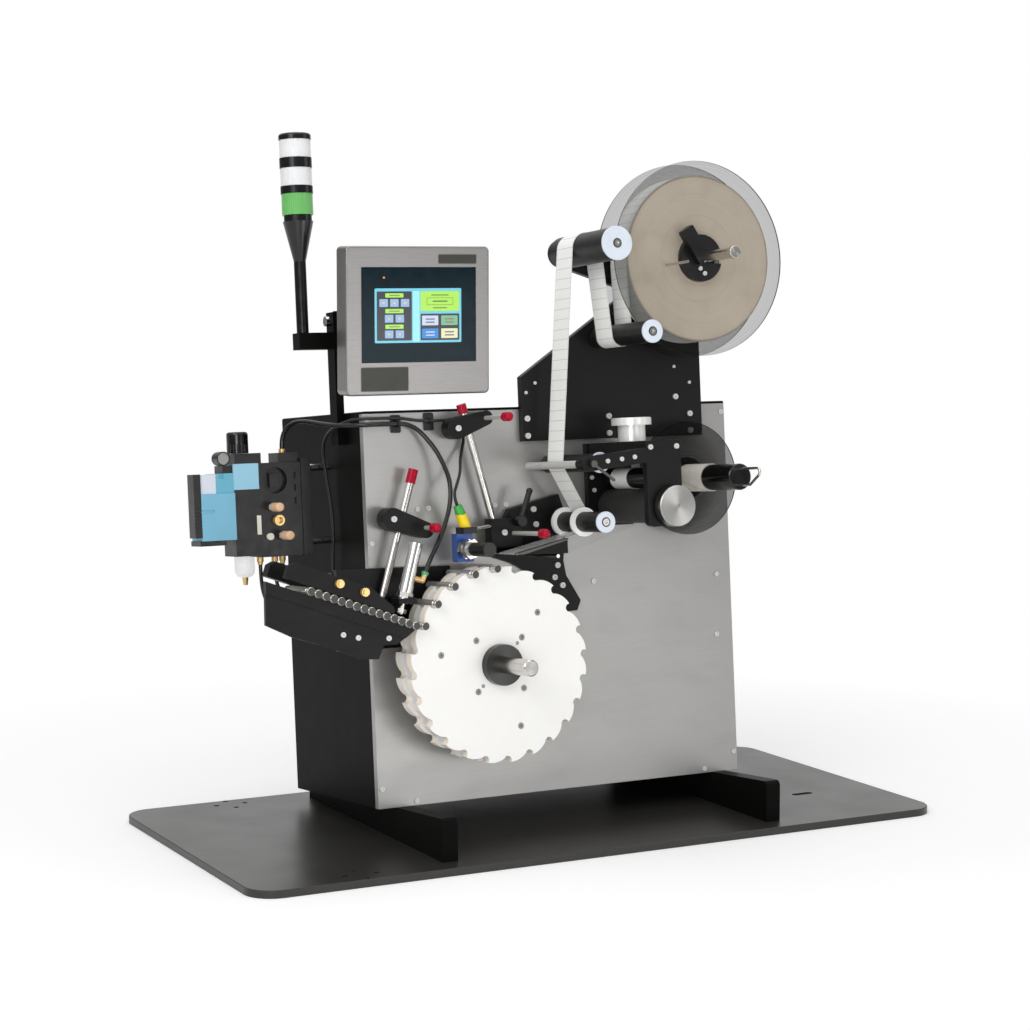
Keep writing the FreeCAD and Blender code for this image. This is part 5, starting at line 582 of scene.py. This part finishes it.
def within_depths(*ranges):
    """A test for faces well inside one of the ranges of depth, not at its ends."""
    return lambda point: any(low + HAIR < point.y < high - HAIR for low, high in ranges)


def both(first, second):
    """A test that holds where two others do."""
    return lambda point: first(point) and second(point)


def either(first, second):
    """A test that holds where at least one of two others does."""
    return lambda point: first(point) or second(point)


def outside(test):
    """A test that holds where another doesn't."""
    return lambda point: not test(point)


# cabinet, and plates of one finish
for painted_node in ("skids", "cabinet_shell", "rear_panel", "hmi_post"):
    dress(painted_node, BLACK_PAINT)
for black_node in ("supply_plate", "web_plate", "nip_bracket", "chute_frame", "clamp_arms"):
    dress(black_node, BLACK_PLATE)
dress("base_plate", BASE_COAT)
dress("front_plate", FRONT_PLATE)
dress("machine_screws", SCREW_STEEL)
dress("gearmotors", DARK_STEEL)
dress("drive_belt", BLACK_RUBBER)
dress("tie_mounts", BLACK_PLASTIC)

# rollers and dead shafts
ROLLERS = {                      # x, z, front end of the cap
    "top_roller": (359.5, 862.0, -187.0),
    "lower_roller": (417.5, 725.2, -186.0),
    "idler_roller": (315.5, 524.3, -184.0),
    "collar_roller": (330.5, 431.5, -168.0),
}
CAP_THICK = 3.5
CAP_RECESS_R = 7.7
COLLAR_ROLLER_R = 16.4
GUIDE_ROD = (287.5, 522.6)
GUIDE_ROD_R = 7.0
REEL_SHAFT_LEFT_X = 540.0        # of all dead shafts, only the reel's lies right of this
REEL_SHAFT_END_Y = -203.0
REEL_SPACER_FRONT_Y = -36.0


def roller_rules(name):
    """White cap with a dark ring in it; on the collar roller the two collars are white as well."""
    x, z, front = ROLLERS[name]
    rules = [
        (DARK_STEEL, both(where(y_under=front + CAP_THICK), near_axis(x, z, CAP_RECESS_R))),
        (WHITE_CAP, where(y_under=front + CAP_THICK + 0.1)),
    ]
    if name == "collar_roller":
        rules.append((WHITE_COLLAR, outside(near_axis(x, z, COLLAR_ROLLER_R))))
    return rules


for roller_name in ROLLERS:
    dress(roller_name, BLACK_RUBBER, *roller_rules(roller_name))
dress("dead_shafts", STEEL,
      (BLACK_PLATE, where(x_over=REEL_SHAFT_LEFT_X, y_over=REEL_SPACER_FRONT_Y)),
      (REEL_SHAFT_END, where(x_over=REEL_SHAFT_LEFT_X, y_under=REEL_SHAFT_END_Y + 0.5)),
      (ROD_RIBBED, near_axis(*GUIDE_ROD, GUIDE_ROD_R)))

# reel and label web
REEL_DISC_DEPTHS = ((-94.0, -91.0), (-39.0, -36.0))
REEL_PIN_RIGHT_X = 510.0
HUB_SCREWS = (REEL[0], 826.0)
HUB_SCREWS_R = 9.0               # a circle round both screws
HUB_FRONT_Y = -102.0
ROLL_DEPTH = (-91.0, -39.0)
DRIVE_WRAP_LEFT_X = 396.0        # where the web goes round the driven roller,
DRIVE_WRAP_Z = (470.0, 540.0)
REWIND_RUN_LEFT_X = 449.0        # on to the rewind core,
REWIND_RUN_TOP_Z = 600.0
RETURN_RUN_LEFT_X = 352.0        # and, before both, back from the blade
BLADE_TOP_Z = 386.0
BLADE_HEEL = (281.0, 385.0)
BLADE_RISE = 0.32
VEILED_RIGHT_X = 320.0
VEILED_TOP_Z = 425.0


def under_blade(point):
    """True for the liner under the blade's sloping back."""
    heel_x, heel_z = BLADE_HEEL
    return point.z < BLADE_TOP_Z + 0.1 or point.z < heel_z + BLADE_RISE * (point.x - heel_x)


dress("reel_discs", REEL_CLEAR, (REEL_RIM, within_depths(*REEL_DISC_DEPTHS)))
dress("reel_hub", BLACK_PLASTIC,
      (STEEL, where(x_under=REEL_PIN_RIGHT_X)),
      (SCREW_STEEL, both(where(y_under=HUB_FRONT_Y), near_axis(*HUB_SCREWS, HUB_SCREWS_R))))
dress("label_roll", LABELS_ROUND, (ROLL_SIDE, outside(within_depths(ROLL_DEPTH))))
stand_free("label_roll", 0.2)
dress("label_web", LABELS_UP,
      (BEIGE_LINER, where(x_over=REWIND_RUN_LEFT_X, z_under=REWIND_RUN_TOP_Z)),
      (WHITE_COLLAR, where(x_over=DRIVE_WRAP_LEFT_X, z_over=DRIVE_WRAP_Z[0], z_under=DRIVE_WRAP_Z[1])),
      (CLEAR_LINER, both(where(z_under=DRIVE_WRAP_Z[0]),
                         either(where(x_over=RETURN_RUN_LEFT_X), under_blade))),
      (VEILED_LINER, where(x_under=VEILED_RIGHT_X, z_over=BLADE_TOP_Z, z_under=VEILED_TOP_Z)))

# star wheel and product tubes
STAR_DISC_DEPTHS = ((-94.0, -75.0), (-56.0, -37.0))
STAR_SHAFT_END_Y = -197.0
STAR_SHAFT_R = 12.7
STAR_BOSS_R = 32.0
SUNK_BOLTS_BACK_Y = -88.0
TUBE_FRONT_Y = -111.0
dress("star_discs", WHEEL_WHITE, (WHEEL_FLANK_LIT, within_depths(*STAR_DISC_DEPTHS)))
dress("star_hub", BLACK_PLATE,
      (SHAFT_END, both(where(y_under=STAR_SHAFT_END_Y + 0.1), near_axis(*STAR, STAR_SHAFT_R + 0.1))),
      (STEEL, near_axis(*STAR, STAR_SHAFT_R + 0.05)),
      (BOSS_BLACK, near_axis(*STAR, STAR_BOSS_R + 0.2)),
      (BOLT_STEEL, where(y_under=SUNK_BOLTS_BACK_Y)))
for tube_node in ("wheel_tubes", "chute_tubes"):
    dress(tube_node, TUBE_METAL, (TUBE_END_SHADE, where(y_under=TUBE_FRONT_Y + 0.1)))

# hold-down rails, adjusting rods and clamping levers
RAIL_FRONT_Y = -107.1
GRIP_LOW_Z = {"clamp_rod_left": 503.2, "clamp_rod_top": 609.6}
BALL_Y = {"ball_lever_left": -77.0, "ball_lever_top": -115.0, "ball_lever_low": -144.0}
CAP_REACH = 14.6                 # from the ball's middle to the back of its red cap
dress("hold_down_rails", BLACK_PLATE, (BRASS, where(y_under=RAIL_FRONT_Y)))
for rod_name, grip_low in GRIP_LOW_Z.items():
    dress(rod_name, STEEL, (RED_CAP, where(z_over=grip_low)))
for lever_name, ball_y in BALL_Y.items():
    dress(lever_name, RED_CAP, (LEVER_STEEL, where(y_over=ball_y + CAP_REACH)))
dress("ratchet_lever", BLACK_PLASTIC)

# sensor
SENSOR = (141.0, 398.3)
SENSOR_THREAD_R = 10.6
SENSOR_FRONT_Y = -140.0
SENSOR_SPLIT_Y = -88.0           # the smooth housing ends and the thread begins
SENSOR_BLOCK_FRONT_Y = -50.0
SENSOR_BLOCK_TOP_Z = 422.0
SENSOR_BLOCK_X = (129.0, 158.5)
SENSOR_NUTS_FRONT_Y = -81.0
SENSOR_NUTS_TOP_Z = 416.0
SENSOR_POST_LEFT_X = 160.5
PLUG_SPLIT_Z = 451.5
dress("sensor_block", BLACK_PLASTIC,
      (GREY_RUBBER, where(y_under=SENSOR_FRONT_Y + 0.2)),
      (SENSOR_BLUE, where(x_over=SENSOR_BLOCK_X[0], x_under=SENSOR_BLOCK_X[1],
                          y_over=SENSOR_BLOCK_FRONT_Y - 0.5, z_under=SENSOR_BLOCK_TOP_Z + HAIR)),
      (THREAD, both(where(y_over=SENSOR_SPLIT_Y, y_under=SENSOR_BLOCK_FRONT_Y),
                    near_axis(*SENSOR, SENSOR_THREAD_R))),
      (STEEL, where(y_over=SENSOR_NUTS_FRONT_Y, y_under=SENSOR_BLOCK_FRONT_Y, z_under=SENSOR_NUTS_TOP_Z)),
      (STEEL, where(x_over=SENSOR_POST_LEFT_X)))
dress("sensor_connector", YELLOW, (GREEN, where(z_over=PLUG_SPLIT_Z)))

# air cylinder
RING_LEFT_X = 58.0
RING_LOW_Z = 361.5
ELBOW_LEFT_X = 49.5
ELBOW_TOP_Z = 371.0
CYLINDER_SIDE = (43.0, 337.8)    # a place on the cylinder's right side, near its foot
CYLINDER_LEAN = 0.3              # how far it leans to the right for each millimetre up


def right_of_cylinder(point):
    """True right of the leaning cylinder's own side."""
    side_x, side_z = CYLINDER_SIDE
    return point.x > CYLINDER_LEAN * (point.z - side_z) + side_x


dress("air_cylinder", CHROME,
      (RING_GREEN, where(x_over=RING_LEFT_X, z_over=RING_LOW_Z)),
      (BRASS, both(where(x_over=ELBOW_LEFT_X, z_under=ELBOW_TOP_Z), right_of_cylinder)))
dress("cylinder_pin", STEEL)

# peel block, nip and rewind
BLADE_TIP_RIGHT_X = 211.0
PEEL_FRONT_Y = -99.0
PEEL_BAR = (281.0, 380.3)
PEEL_BAR_R = 3.2
PEEL_BAR_TOP_Z = 384.0
DRIVE_CORE_R = 20.5
NIP_SHAFT_R = 5.4
REWIND_DISC_DEPTH = (-38.5, -35.5)
WOUND_DEPTH = (-112.0, -39.0)
dress("peel_plate", BLACK_PLATE,
      (STEEL, both(where(z_under=PEEL_BAR_TOP_Z), near_axis(*PEEL_BAR, PEEL_BAR_R))),
      (STEEL, where(x_under=BLADE_TIP_RIGHT_X)),
      (DARK_STEEL, where(y_under=PEEL_FRONT_Y + 0.1)))
dress("drive_roller", GREY_RUBBER, (STEEL, near_axis(*DRIVE, DRIVE_CORE_R)))
dress("drive_knob", DRIVE_KNOB)
dress("nip_roller", BLACK_GLOSS, (STEEL, near_axis(*NIP, NIP_SHAFT_R)))
dress("pressure_knob", PRESSURE_KNOB)
dress("guide_lever", DARK_STEEL)
dress("rewind_mandrel", BLACK_GLOSS)
dress("rewind_disc", REWIND_SMOKED, (REWIND_RIM, within_depths(REWIND_DISC_DEPTH)))
dress("wound_liner", BEIGE_LINER, (LINER_SIDE, outside(within_depths(WOUND_DEPTH))))
dress("wire_bail", STEEL)

# operator panel's box and stack light
HINGE_BOLT_RIGHT_X = -12.0
HINGE_BOLT_FRONT_Y = 60.0
PANEL_FRONT_Y = -6.0
PANEL_DEEP = 36.0
GREEN_LENS_TOP_Z = 966.0


def behind_panel(point):
    """True behind the panel's steel box, which hangs upright and not with the machine's lean."""
    return to_part(point).y / MM - PANEL_SHIFT.y > PANEL_FRONT_Y + PANEL_DEEP + HAIR


dress("hmi_housing", PANEL_STEEL,
      (CHROME, where(x_under=HINGE_BOLT_RIGHT_X, y_over=HINGE_BOLT_FRONT_Y)),
      (BLACK_PAINT, behind_panel))
dress("beacon_column", BLACK_GLOSS)
dress("beacon_lenses", LENS_CLEAR, (LENS_GREEN, where(z_under=GREEN_LENS_TOP_Z)))

# valve group
PALE_STRIP_X = (-134.0, -127.0)
PALE_STRIP_TOP_Z = 463.0
VALVE_FRONT_Y = 120.0
VALVE_PLATE_RIGHT_X = -41.0
BODY_TOP_Z = 500.0
LIGHT_BLOCK_LEFT_X = -170.0
LIGHT_BLOCK_LOW_Z = 504.0
BLOCKS_TOP_Z = 531.0
PALE_BLOCK_RIGHT_X = -200.0
GAUGE_FACE_R = 9.3
GAUGE_R = 12.0
GAUGE_FACE_BACK_Y = 125.0
GLANDS_LEFT_X = -20.0
PALE_PLUG = (-114.0, 429.0)
PALE_PLUG_R = 5.7
SILENCER_BACK_Y = 110.8
SMALL_PLUG_BACK_Y = 119.0
RING_FITTING_Z = (444.0, 464.0)  # this fitting is brass to its front end
dress("valve_manifold", MANIFOLD_BLACK,
      (PALE_PLASTIC, where(x_over=PALE_STRIP_X[0] - 0.1, x_under=PALE_STRIP_X[1] + 0.1,
                           y_under=VALVE_FRONT_Y, z_under=PALE_STRIP_TOP_Z + 0.5)),
      (STEEL, where(x_over=VALVE_PLATE_RIGHT_X)))
dress("valve_body", VALVE_BLUE,
      (VALVE_LIGHT, where(x_over=LIGHT_BLOCK_LEFT_X - 0.1, z_over=LIGHT_BLOCK_LOW_Z)),
      (BLACK_PLASTIC, where(x_under=LIGHT_BLOCK_LEFT_X + 0.1, z_over=BLOCKS_TOP_Z + 0.1)),
      (VALVE_PALE, where(x_under=PALE_BLOCK_RIGHT_X + 0.1, z_over=BODY_TOP_Z)),
      (VALVE_TEAL, where(z_over=BODY_TOP_Z)))
dress("regulator_knob", BLACK_GLOSS)
dress("filter_bowl", BOWL_CLEAR)
dress("air_fittings", BRASS,
      (GAUGE_FACE, both(near_axis(*GAUGE, GAUGE_FACE_R), where(y_under=GAUGE_FACE_BACK_Y))),
      (BLACK_PLASTIC, either(near_axis(*GAUGE, GAUGE_R), where(x_over=GLANDS_LEFT_X))),
      (PALE_PLASTIC, near_axis(*PALE_PLUG, PALE_PLUG_R)),
      (BRONZE, where(y_under=SILENCER_BACK_Y)),
      (SCREW_STEEL, both(where(y_under=SMALL_PLUG_BACK_Y),
                         outside(where(z_over=RING_FITTING_Z[0], z_under=RING_FITTING_Z[1])))))


# ---------------------------------------------------------------- operator panel
SCREEN_FACE_Y = -3.6
PICTURE_THICK = 0.1
NAMEPLATE_THICK = 0.35
NAMEPLATE_RIM = 0.9
NAMEPLATES = ((134.6, 202.0, 853.0, 868.3), (1.3, 82.9, 655.4, 693.4))   # left, right, low, high
LAMP_X, LAMP_Z = 42.0, 831.8
LAMP_R = 1.8
SCREEN = (26.0, 176.5, 730.0, 815.5)         # left, right, low, high

LAYER = 0.12                     # how far each layer stands in front of the last
GROUND, FIELD, KEY, BUTTON, MARK = range(5)

INK_DARK = lit("screen_dark", rgb(22, 34, 44), 0.6)
INK_PALE = lit("screen_pale_cyan", rgb(160, 238, 252))
INK_LIME = lit("screen_lime", rgb(176, 236, 84))
INK_MOSS = lit("screen_moss", rgb(84, 140, 52), 0.6)
INK_BUTTON = lit("screen_button", rgb(152, 182, 226))
INK_YELLOW = lit("screen_yellow", rgb(214, 218, 112))
INK_LILAC = lit("screen_lilac", rgb(206, 214, 238))
INK_SEA = lit("screen_sea_green", rgb(116, 188, 150))
INK_RED = lit("screen_red", rgb(176, 92, 76), 0.6)
INK_BLUE = lit("screen_blue", rgb(24, 136, 220))
INK_CREAM = lit("screen_cream", rgb(234, 232, 188))
INK_SLATE = lit("screen_slate", rgb(74, 84, 130), 0.6)
BARE_PLATE = plastic("bare_nameplate", rgb(58, 59, 54), 0.35, 0.3, 0.002, 0.0)
BARE_BORDER = plastic("nameplate_border", rgb(108, 106, 98), 0.35, 0.3, 0.002, 0.0)


def rounded_corners(x0, x1, z0, z1, radius, steps=4):
    """The outline of a rectangle with round corners, anticlockwise from the lower right."""
    outline = []
    for centre_x, centre_z, start in (
        (x1 - radius, z0 + radius, -90), (x1 - radius, z1 - radius, 0),
        (x0 + radius, z1 - radius, 90), (x0 + radius, z0 + radius, 180),
    ):
        for step in range(steps + 1):
            angle = math.radians(start + 90 * step / steps)
            outline.append((centre_x + radius * math.cos(angle), centre_z + radius * math.sin(angle)))
    return outline


def tile_shape(outline, front, back, first):
    """A tile's points, and its front and side faces for points numbered from first."""
    count = len(outline)
    points = [on_panel(x, front, z) for x, z in outline] + [on_panel(x, back, z) for x, z in outline]
    faces = [tuple(range(first, first + count))]
    for corner in range(count):
        after = (corner + 1) % count
        faces.append((first + after, first + corner, first + count + corner, first + count + after))
    return points, faces


def panel_tiles(name, tiles, seat_y, thick):
    """Thin tiles on the panel: each a (left, right, low, high), a corner radius, a layer, a finish."""
    finishes = list(dict.fromkeys(finish for *_, finish in tiles))
    points, faces, face_finishes = [], [], []
    for sides, radius, layer, finish in tiles:
        front = seat_y - thick - LAYER * layer
        made = tile_shape(rounded_corners(*sides, radius), front, seat_y, len(points))
        points += made[0]
        faces += made[1]
        face_finishes += [finishes.index(finish)] * len(made[1])
    mesh = bpy.data.meshes.new(name)
    mesh.from_pydata(points, [], faces)
    for finish in finishes:
        mesh.materials.append(finish)
    for face, index in zip(mesh.polygons, face_finishes):
        face.material_index = index
    tile_object = bpy.data.objects.new(name, mesh)
    bpy.context.scene.collection.objects.link(tile_object)
    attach(tile_object, "operator_panel")


def button_column(left, right, low, high):
    """A dark column with three short headings, each over a row of buttons."""
    middle = (left + right) / 2
    tiles = [((left, right, low, high), 1.6, FIELD, INK_DARK)]
    for row, count in enumerate((3, 2, 2)):
        top = high - 3.0 - 24.3 * row
        tiles.append(((middle - 15.5, middle + 15.5, top - 6.5, top), 1.0, BUTTON, INK_LIME))
        tiles.append(((middle - 9, middle + 9, top - 4.0, top - 2.6), 0.4, MARK, INK_MOSS))
        for number in range(count):
            centre = middle + 18.3 * (number - (count - 1) / 2)
            tiles.append(((centre - 7.2, centre + 7.2, top - 21, top - 9), 1.0, BUTTON, INK_BUTTON))
            tiles.append(((centre - 1.6, centre + 1.6, top - 16.6, top - 13.4), 0.8, MARK, INK_YELLOW))
    return tiles


def key_block(left, right, low, high):
    """Four keys on a dark ground, each with two short bars in place of words."""
    tiles = [((left, right, low, high), 1.6, FIELD, INK_DARK)]
    middle, half_up = (left + right) / 2, (high - low) / 2
    columns = ((left + 2.5, middle - 3.0), (middle + 2.0, right - 3.0))
    for column, row, face, ink in (
        (0, 1, INK_LILAC, INK_SLATE), (1, 1, INK_SEA, INK_RED),
        (0, 0, INK_BLUE, INK_LILAC), (1, 0, INK_CREAM, INK_SLATE),
    ):
        x0, x1 = columns[column]
        z0 = low + 3.0 + row * (half_up - 0.5)
        z1 = z0 + half_up - 5.5
        tiles.append(((x0, x1, z0, z1), 1.2, KEY, face))
        for share in (0.32, 0.64):
            at = z0 + share * (z1 - z0)
            tiles.append(((x0 + 6.5, x1 - 6.5, at - 0.9, at + 0.9), 0.4, MARK, ink))
    return tiles


def status_field(left, right, low, high):
    """A bright field with a framed reading between two short lines."""
    middle = (left + right) / 2
    tiles = [((left, right, low, high), 1.6, FIELD, INK_LIME)]
    for at, half in ((high - 6, 15.0), (low + 5, 12.0)):
        tiles.append(((middle - half, middle + half, at - 0.8, at + 0.8), 0.4, MARK, INK_MOSS))
    tiles.append(((middle - 23, middle + 23, low + 9.5, high - 10), 1.3, KEY, INK_MOSS))
    tiles.append(((middle - 22.3, middle + 22.3, low + 10.2, high - 10.7), 1.0, BUTTON, INK_LIME))
    tiles.append(((middle - 13, middle + 13, low + 14.2, high - 14.6), 0.5, MARK, INK_MOSS))
    return tiles


def screen_tiles(left, right, low, high):
    """A generic control picture: a column of buttons, a status field and four keys."""
    tiles = [
        ((left + 0.4, right - 0.4, low + 0.4, high - 0.4), 2.0, GROUND, SCREEN_CYAN),
        ((left + 66, left + 77, low + 2, high - 4.5), 1.0, BUTTON, INK_PALE),
    ]
    tiles += button_column(left + 4, left + 64, low + 4, high - 5)
    tiles += status_field(left + 79, right - 4, high - 36, high - 5)
    return tiles + key_block(left + 79, right - 4, low + 4, high - 40)


def nameplate_tiles(left, right, low, high):
    """A blank nameplate: a dark field in a paler border."""
    rim = NAMEPLATE_RIM
    inside = (left + rim, right - rim, low + rim, high - rim)
    return [
        ((left, right, low, high), 2.0, GROUND, BARE_BORDER),
        (inside, 1.6, FIELD, BARE_PLATE),
    ]


lamp = to_machine(on_panel(LAMP_X, PANEL_FRONT_Y, LAMP_Z))
dress("hmi_panel", BEZEL_BLACK, (LAMP_ORANGE, near_axis(lamp.x, lamp.z, LAMP_R)))
panel_tiles("screen_picture", screen_tiles(*SCREEN), SCREEN_FACE_Y, PICTURE_THICK)
for number, sides in enumerate(NAMEPLATES, 1):
    panel_tiles(f"bare_nameplate_{number}", nameplate_tiles(*sides), PANEL_FRONT_Y, NAMEPLATE_THICK)


# ---------------------------------------------------------------- hoses and cables
HOSE_ROUND_STEPS = 5             # how finely a hose is drawn, round it and along it
HOSE_RUN_STEPS = 8
HOSES = {                        # the CAD node it replaces, radius, length, and its route
    "main_hose": ("air_hoses", 3.6, 541.8, (
        (-77, 145, 566), (-77, 145, 582), (-72, 136, 599), (-63, 117, 608), (-53, 92, 607), (-42, 66, 602),
        (-33, 42, 599), (-22, 19, 597.5), (-10, -4, 597), (10, -13.5, 597), (34, -10.5, 597), (50, -9.6, 597),
        (68, -9.6, 597), (86, -13, 589), (100, -19, 572), (112, -26, 553), (121, -32, 531), (127, -38, 508),
        (126, -43, 484), (118, -49, 457), (105, -55, 431), (89, -61, 405), (74.4, -65, 385.2),
        (66.2, -65, 367))),
    "left_drop_hose": ("air_hoses", 3.0, 181.9, (
        (-121.7, 145, 385), (-121.7, 145, 363), (-117, 151, 340), (-103, 165, 318), (-82, 180, 300),
        (-54, 193, 288), (-32, 198, 284), (-12, 198, 284))),
    "middle_drop_hose": ("air_hoses", 3.0, 133.0, (
        (-97, 145, 385), (-97, 145, 366), (-92, 149, 346), (-78, 158, 328), (-58, 165, 318), (-34, 168, 315),
        (-12, 168, 315))),
    "right_drop_hose": ("air_hoses", 3.0, 101.7, (
        (-84, 145, 385), (-84, 145, 370), (-77, 142, 354), (-62, 138, 342), (-42, 137, 338), (-28, 136, 337),
        (-12, 136, 337))),
    "sensor_cable": ("signal_cables", 2.4, 654.7, (
        (-9, 117, 366), (-9, 117, 392), (-7.5, 115, 420), (-7, 116, 452), (-8, 121, 484), (-10, 126, 514),
        (-13, 127, 542), (-17, 120, 566), (-18.5, 102, 584), (-18.5, 77, 594), (-17, 51, 600), (-13, 27, 604),
        (-12, 10, 606), (-5, -6, 606.3), (9, -12.5, 606), (26, -11, 606), (45, -8.5, 606), (64, -8, 605.4),
        (82, -8, 602.4), (99, -8, 600.2), (128, -8, 600.2), (150, -7, 601), (166, -7, 590), (170, -8, 570),
        (162, -14, 552), (154, -23, 536), (149, -33, 519), (138, -43, 501), (126.6, -50, 482.4),
        (132.6, -50, 466.5))),
}


def lay_hose(name, replaced, radius, length, route):
    """One smooth spline along the route's points, as thick as the hose."""
    curve = bpy.data.curves.new(name, "CURVE")
    curve.dimensions = "3D"
    curve.bevel_depth = radius * MM
    curve.bevel_resolution = HOSE_ROUND_STEPS
    curve.resolution_u = HOSE_RUN_STEPS
    spline = curve.splines.new("NURBS")
    spline.points.add(len(route) - 1)
    for point, place in zip(spline.points, route):
        point.co = (*to_part(place), 1.0)
    spline.order_u = 3
    spline.use_endpoint_u = True
    hose = bpy.data.objects.new(name, curve)
    bpy.context.scene.collection.objects.link(hose)
    curve.materials.append(BLACK_HOSE if replaced == "air_hoses" else CABLE_RUBBER)
    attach(hose, "frame")
    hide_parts(replaced)


for hose_name, hose_facts in HOSES.items():
    lay_hose(hose_name, *hose_facts)


# ---------------------------------------------------------------- floor and light
FLOOR_HALF = 12.0
FLOOR_FADE = (0.75, 1.5)         # how far from the middle the floor turns into plain white
FLOOR_GLOW = 0.2
DAYLIGHT = 0.48                  # the world as it lights the object
ROOM_DIM = 0.16                  # the dark part of the room, as gloss shows it
CEILING_RISE = (0.05, 0.65)      # a reflection's rise where the ceiling begins, and where it is full
BACKDROP_WAY = (0.45, 0.9, 0.0)
BACKDROP_RISE = (0.72, 0.94)     # the same for its share towards the backdrop
AIM = Vector((0.0, 0.0, 0.5))
LAMPS = {                        # place and size in metres, power in watts
    "key_light": ((-3.6, -2.6, 3.0), (2.4, 2.4), 68.0),
    "near_light": ((-2.4, -3.7, 0.7), (1.4, 1.2), 32.0),
    "front_light": ((1.05, -3.7, 0.42), (1.4, 0.8), 15.5),
    "fill_light": ((3.4, -2.4, 1.8), (2.0, 2.0), 10.0),
    "top_light": ((0.0, 0.4, 4.2), (2.6, 2.6), 42.0),
}


def seen_or_mirrored(kit):
    """1 for a ray that shows the background: from the camera, or off or through a piece."""
    rays = kit.node("LightPath").outputs
    seen = rays["Is Camera Ray"]
    for kind in ("Is Glossy Ray", "Is Transmission Ray"):
        seen = kit.math("MAXIMUM", seen, rays[kind])
    return seen


def floor_paper():
    """Pale paper that glows a little where it is seen, and is plain white further out."""
    paint = Finish("floor_paper", rgb(246, 246, 246), 0.9, specular=0.05).mottle(0.006, scale=0.001)
    paint.grain(0.2, depth=0.01, edge=0.0)
    seen = seen_or_mirrored(paint)
    paint.set(Emission_Color=WHITE, Emission_Strength=paint.math("MULTIPLY", seen, FLOOR_GLOW))
    away = paint.vector_math("LENGTH", paint.node("TexCoord").outputs["Object"])
    far = paint.across(away, 0.0, 1.0, *FLOOR_FADE)
    blend = paint.node("MixShader", Fac=paint.math("MULTIPLY", far, seen))
    paint.feed(blend.inputs[1], paint.surface.outputs[0])
    paint.feed(blend.inputs[2], paint.node("Emission").outputs[0])
    paint.feed(paint.nodes["Material Output"].inputs["Surface"], blend.outputs[0])
    return paint.material


def stage_floor():
    """A plain pale floor that keeps the object's shadow and runs out into the white background."""
    half = FLOOR_HALF
    corners = ((-half, -half, 0), (half, -half, 0), (half, half, 0), (-half, half, 0))
    mesh = bpy.data.meshes.new("floor")
    mesh.from_pydata(corners, [], [(0, 1, 2, 3)])
    mesh.materials.append(floor_paper())
    floor = bpy.data.objects.new("floor", mesh)
    bpy.context.scene.collection.objects.link(floor)


def studio_world():
    """White to the camera and soft on the object; gloss shows a white ceiling and backdrop, a dim room."""
    world = bpy.data.worlds.new("studio")
    bpy.context.scene.world = world
    world.use_nodes = True
    kit = Shading(world.node_tree)
    kit.nodes.clear()
    way = kit.node("TexCoord").outputs["Generated"]
    up = kit.node("SeparateXYZ", Vector=way).outputs["Z"]
    toward = kit.vector_math("DOT_PRODUCT", way, BACKDROP_WAY)
    ceiling = kit.across(up, ROOM_DIM, 1.0, *CEILING_RISE, curve="SMOOTHSTEP")
    backdrop = kit.across(toward, ROOM_DIM, 1.0, *BACKDROP_RISE, curve="SMOOTHSTEP")
    level = kit.math("MAXIMUM", ceiling, backdrop)
    rays = kit.node("LightPath").outputs
    for kind, plain in (("Is Diffuse Ray", DAYLIGHT), ("Is Camera Ray", 1.0), ("Is Transmission Ray", 1.0)):
        level = kit.node("Mix", Factor=rays[kind], A=level, B=plain).outputs["Result"]
    shade = kit.node("Background", Color=WHITE, Strength=level)
    kit.node("OutputWorld", Surface=shade.outputs[0])


def soft_box(name, place, size, power):
    """A large area lamp that faces the object."""
    data = bpy.data.lights.new(name, "AREA")
    data.shape = "RECTANGLE"
    data.size, data.size_y = size
    data.energy = power
    stand(bpy.data.objects.new(name, data), place, AIM - Vector(place))


stage_floor()
studio_world()
for lamp_name, lamp_facts in LAMPS.items():
    soft_box(lamp_name, *lamp_facts)
bpy.context.scene.view_settings.view_transform = "Standard"
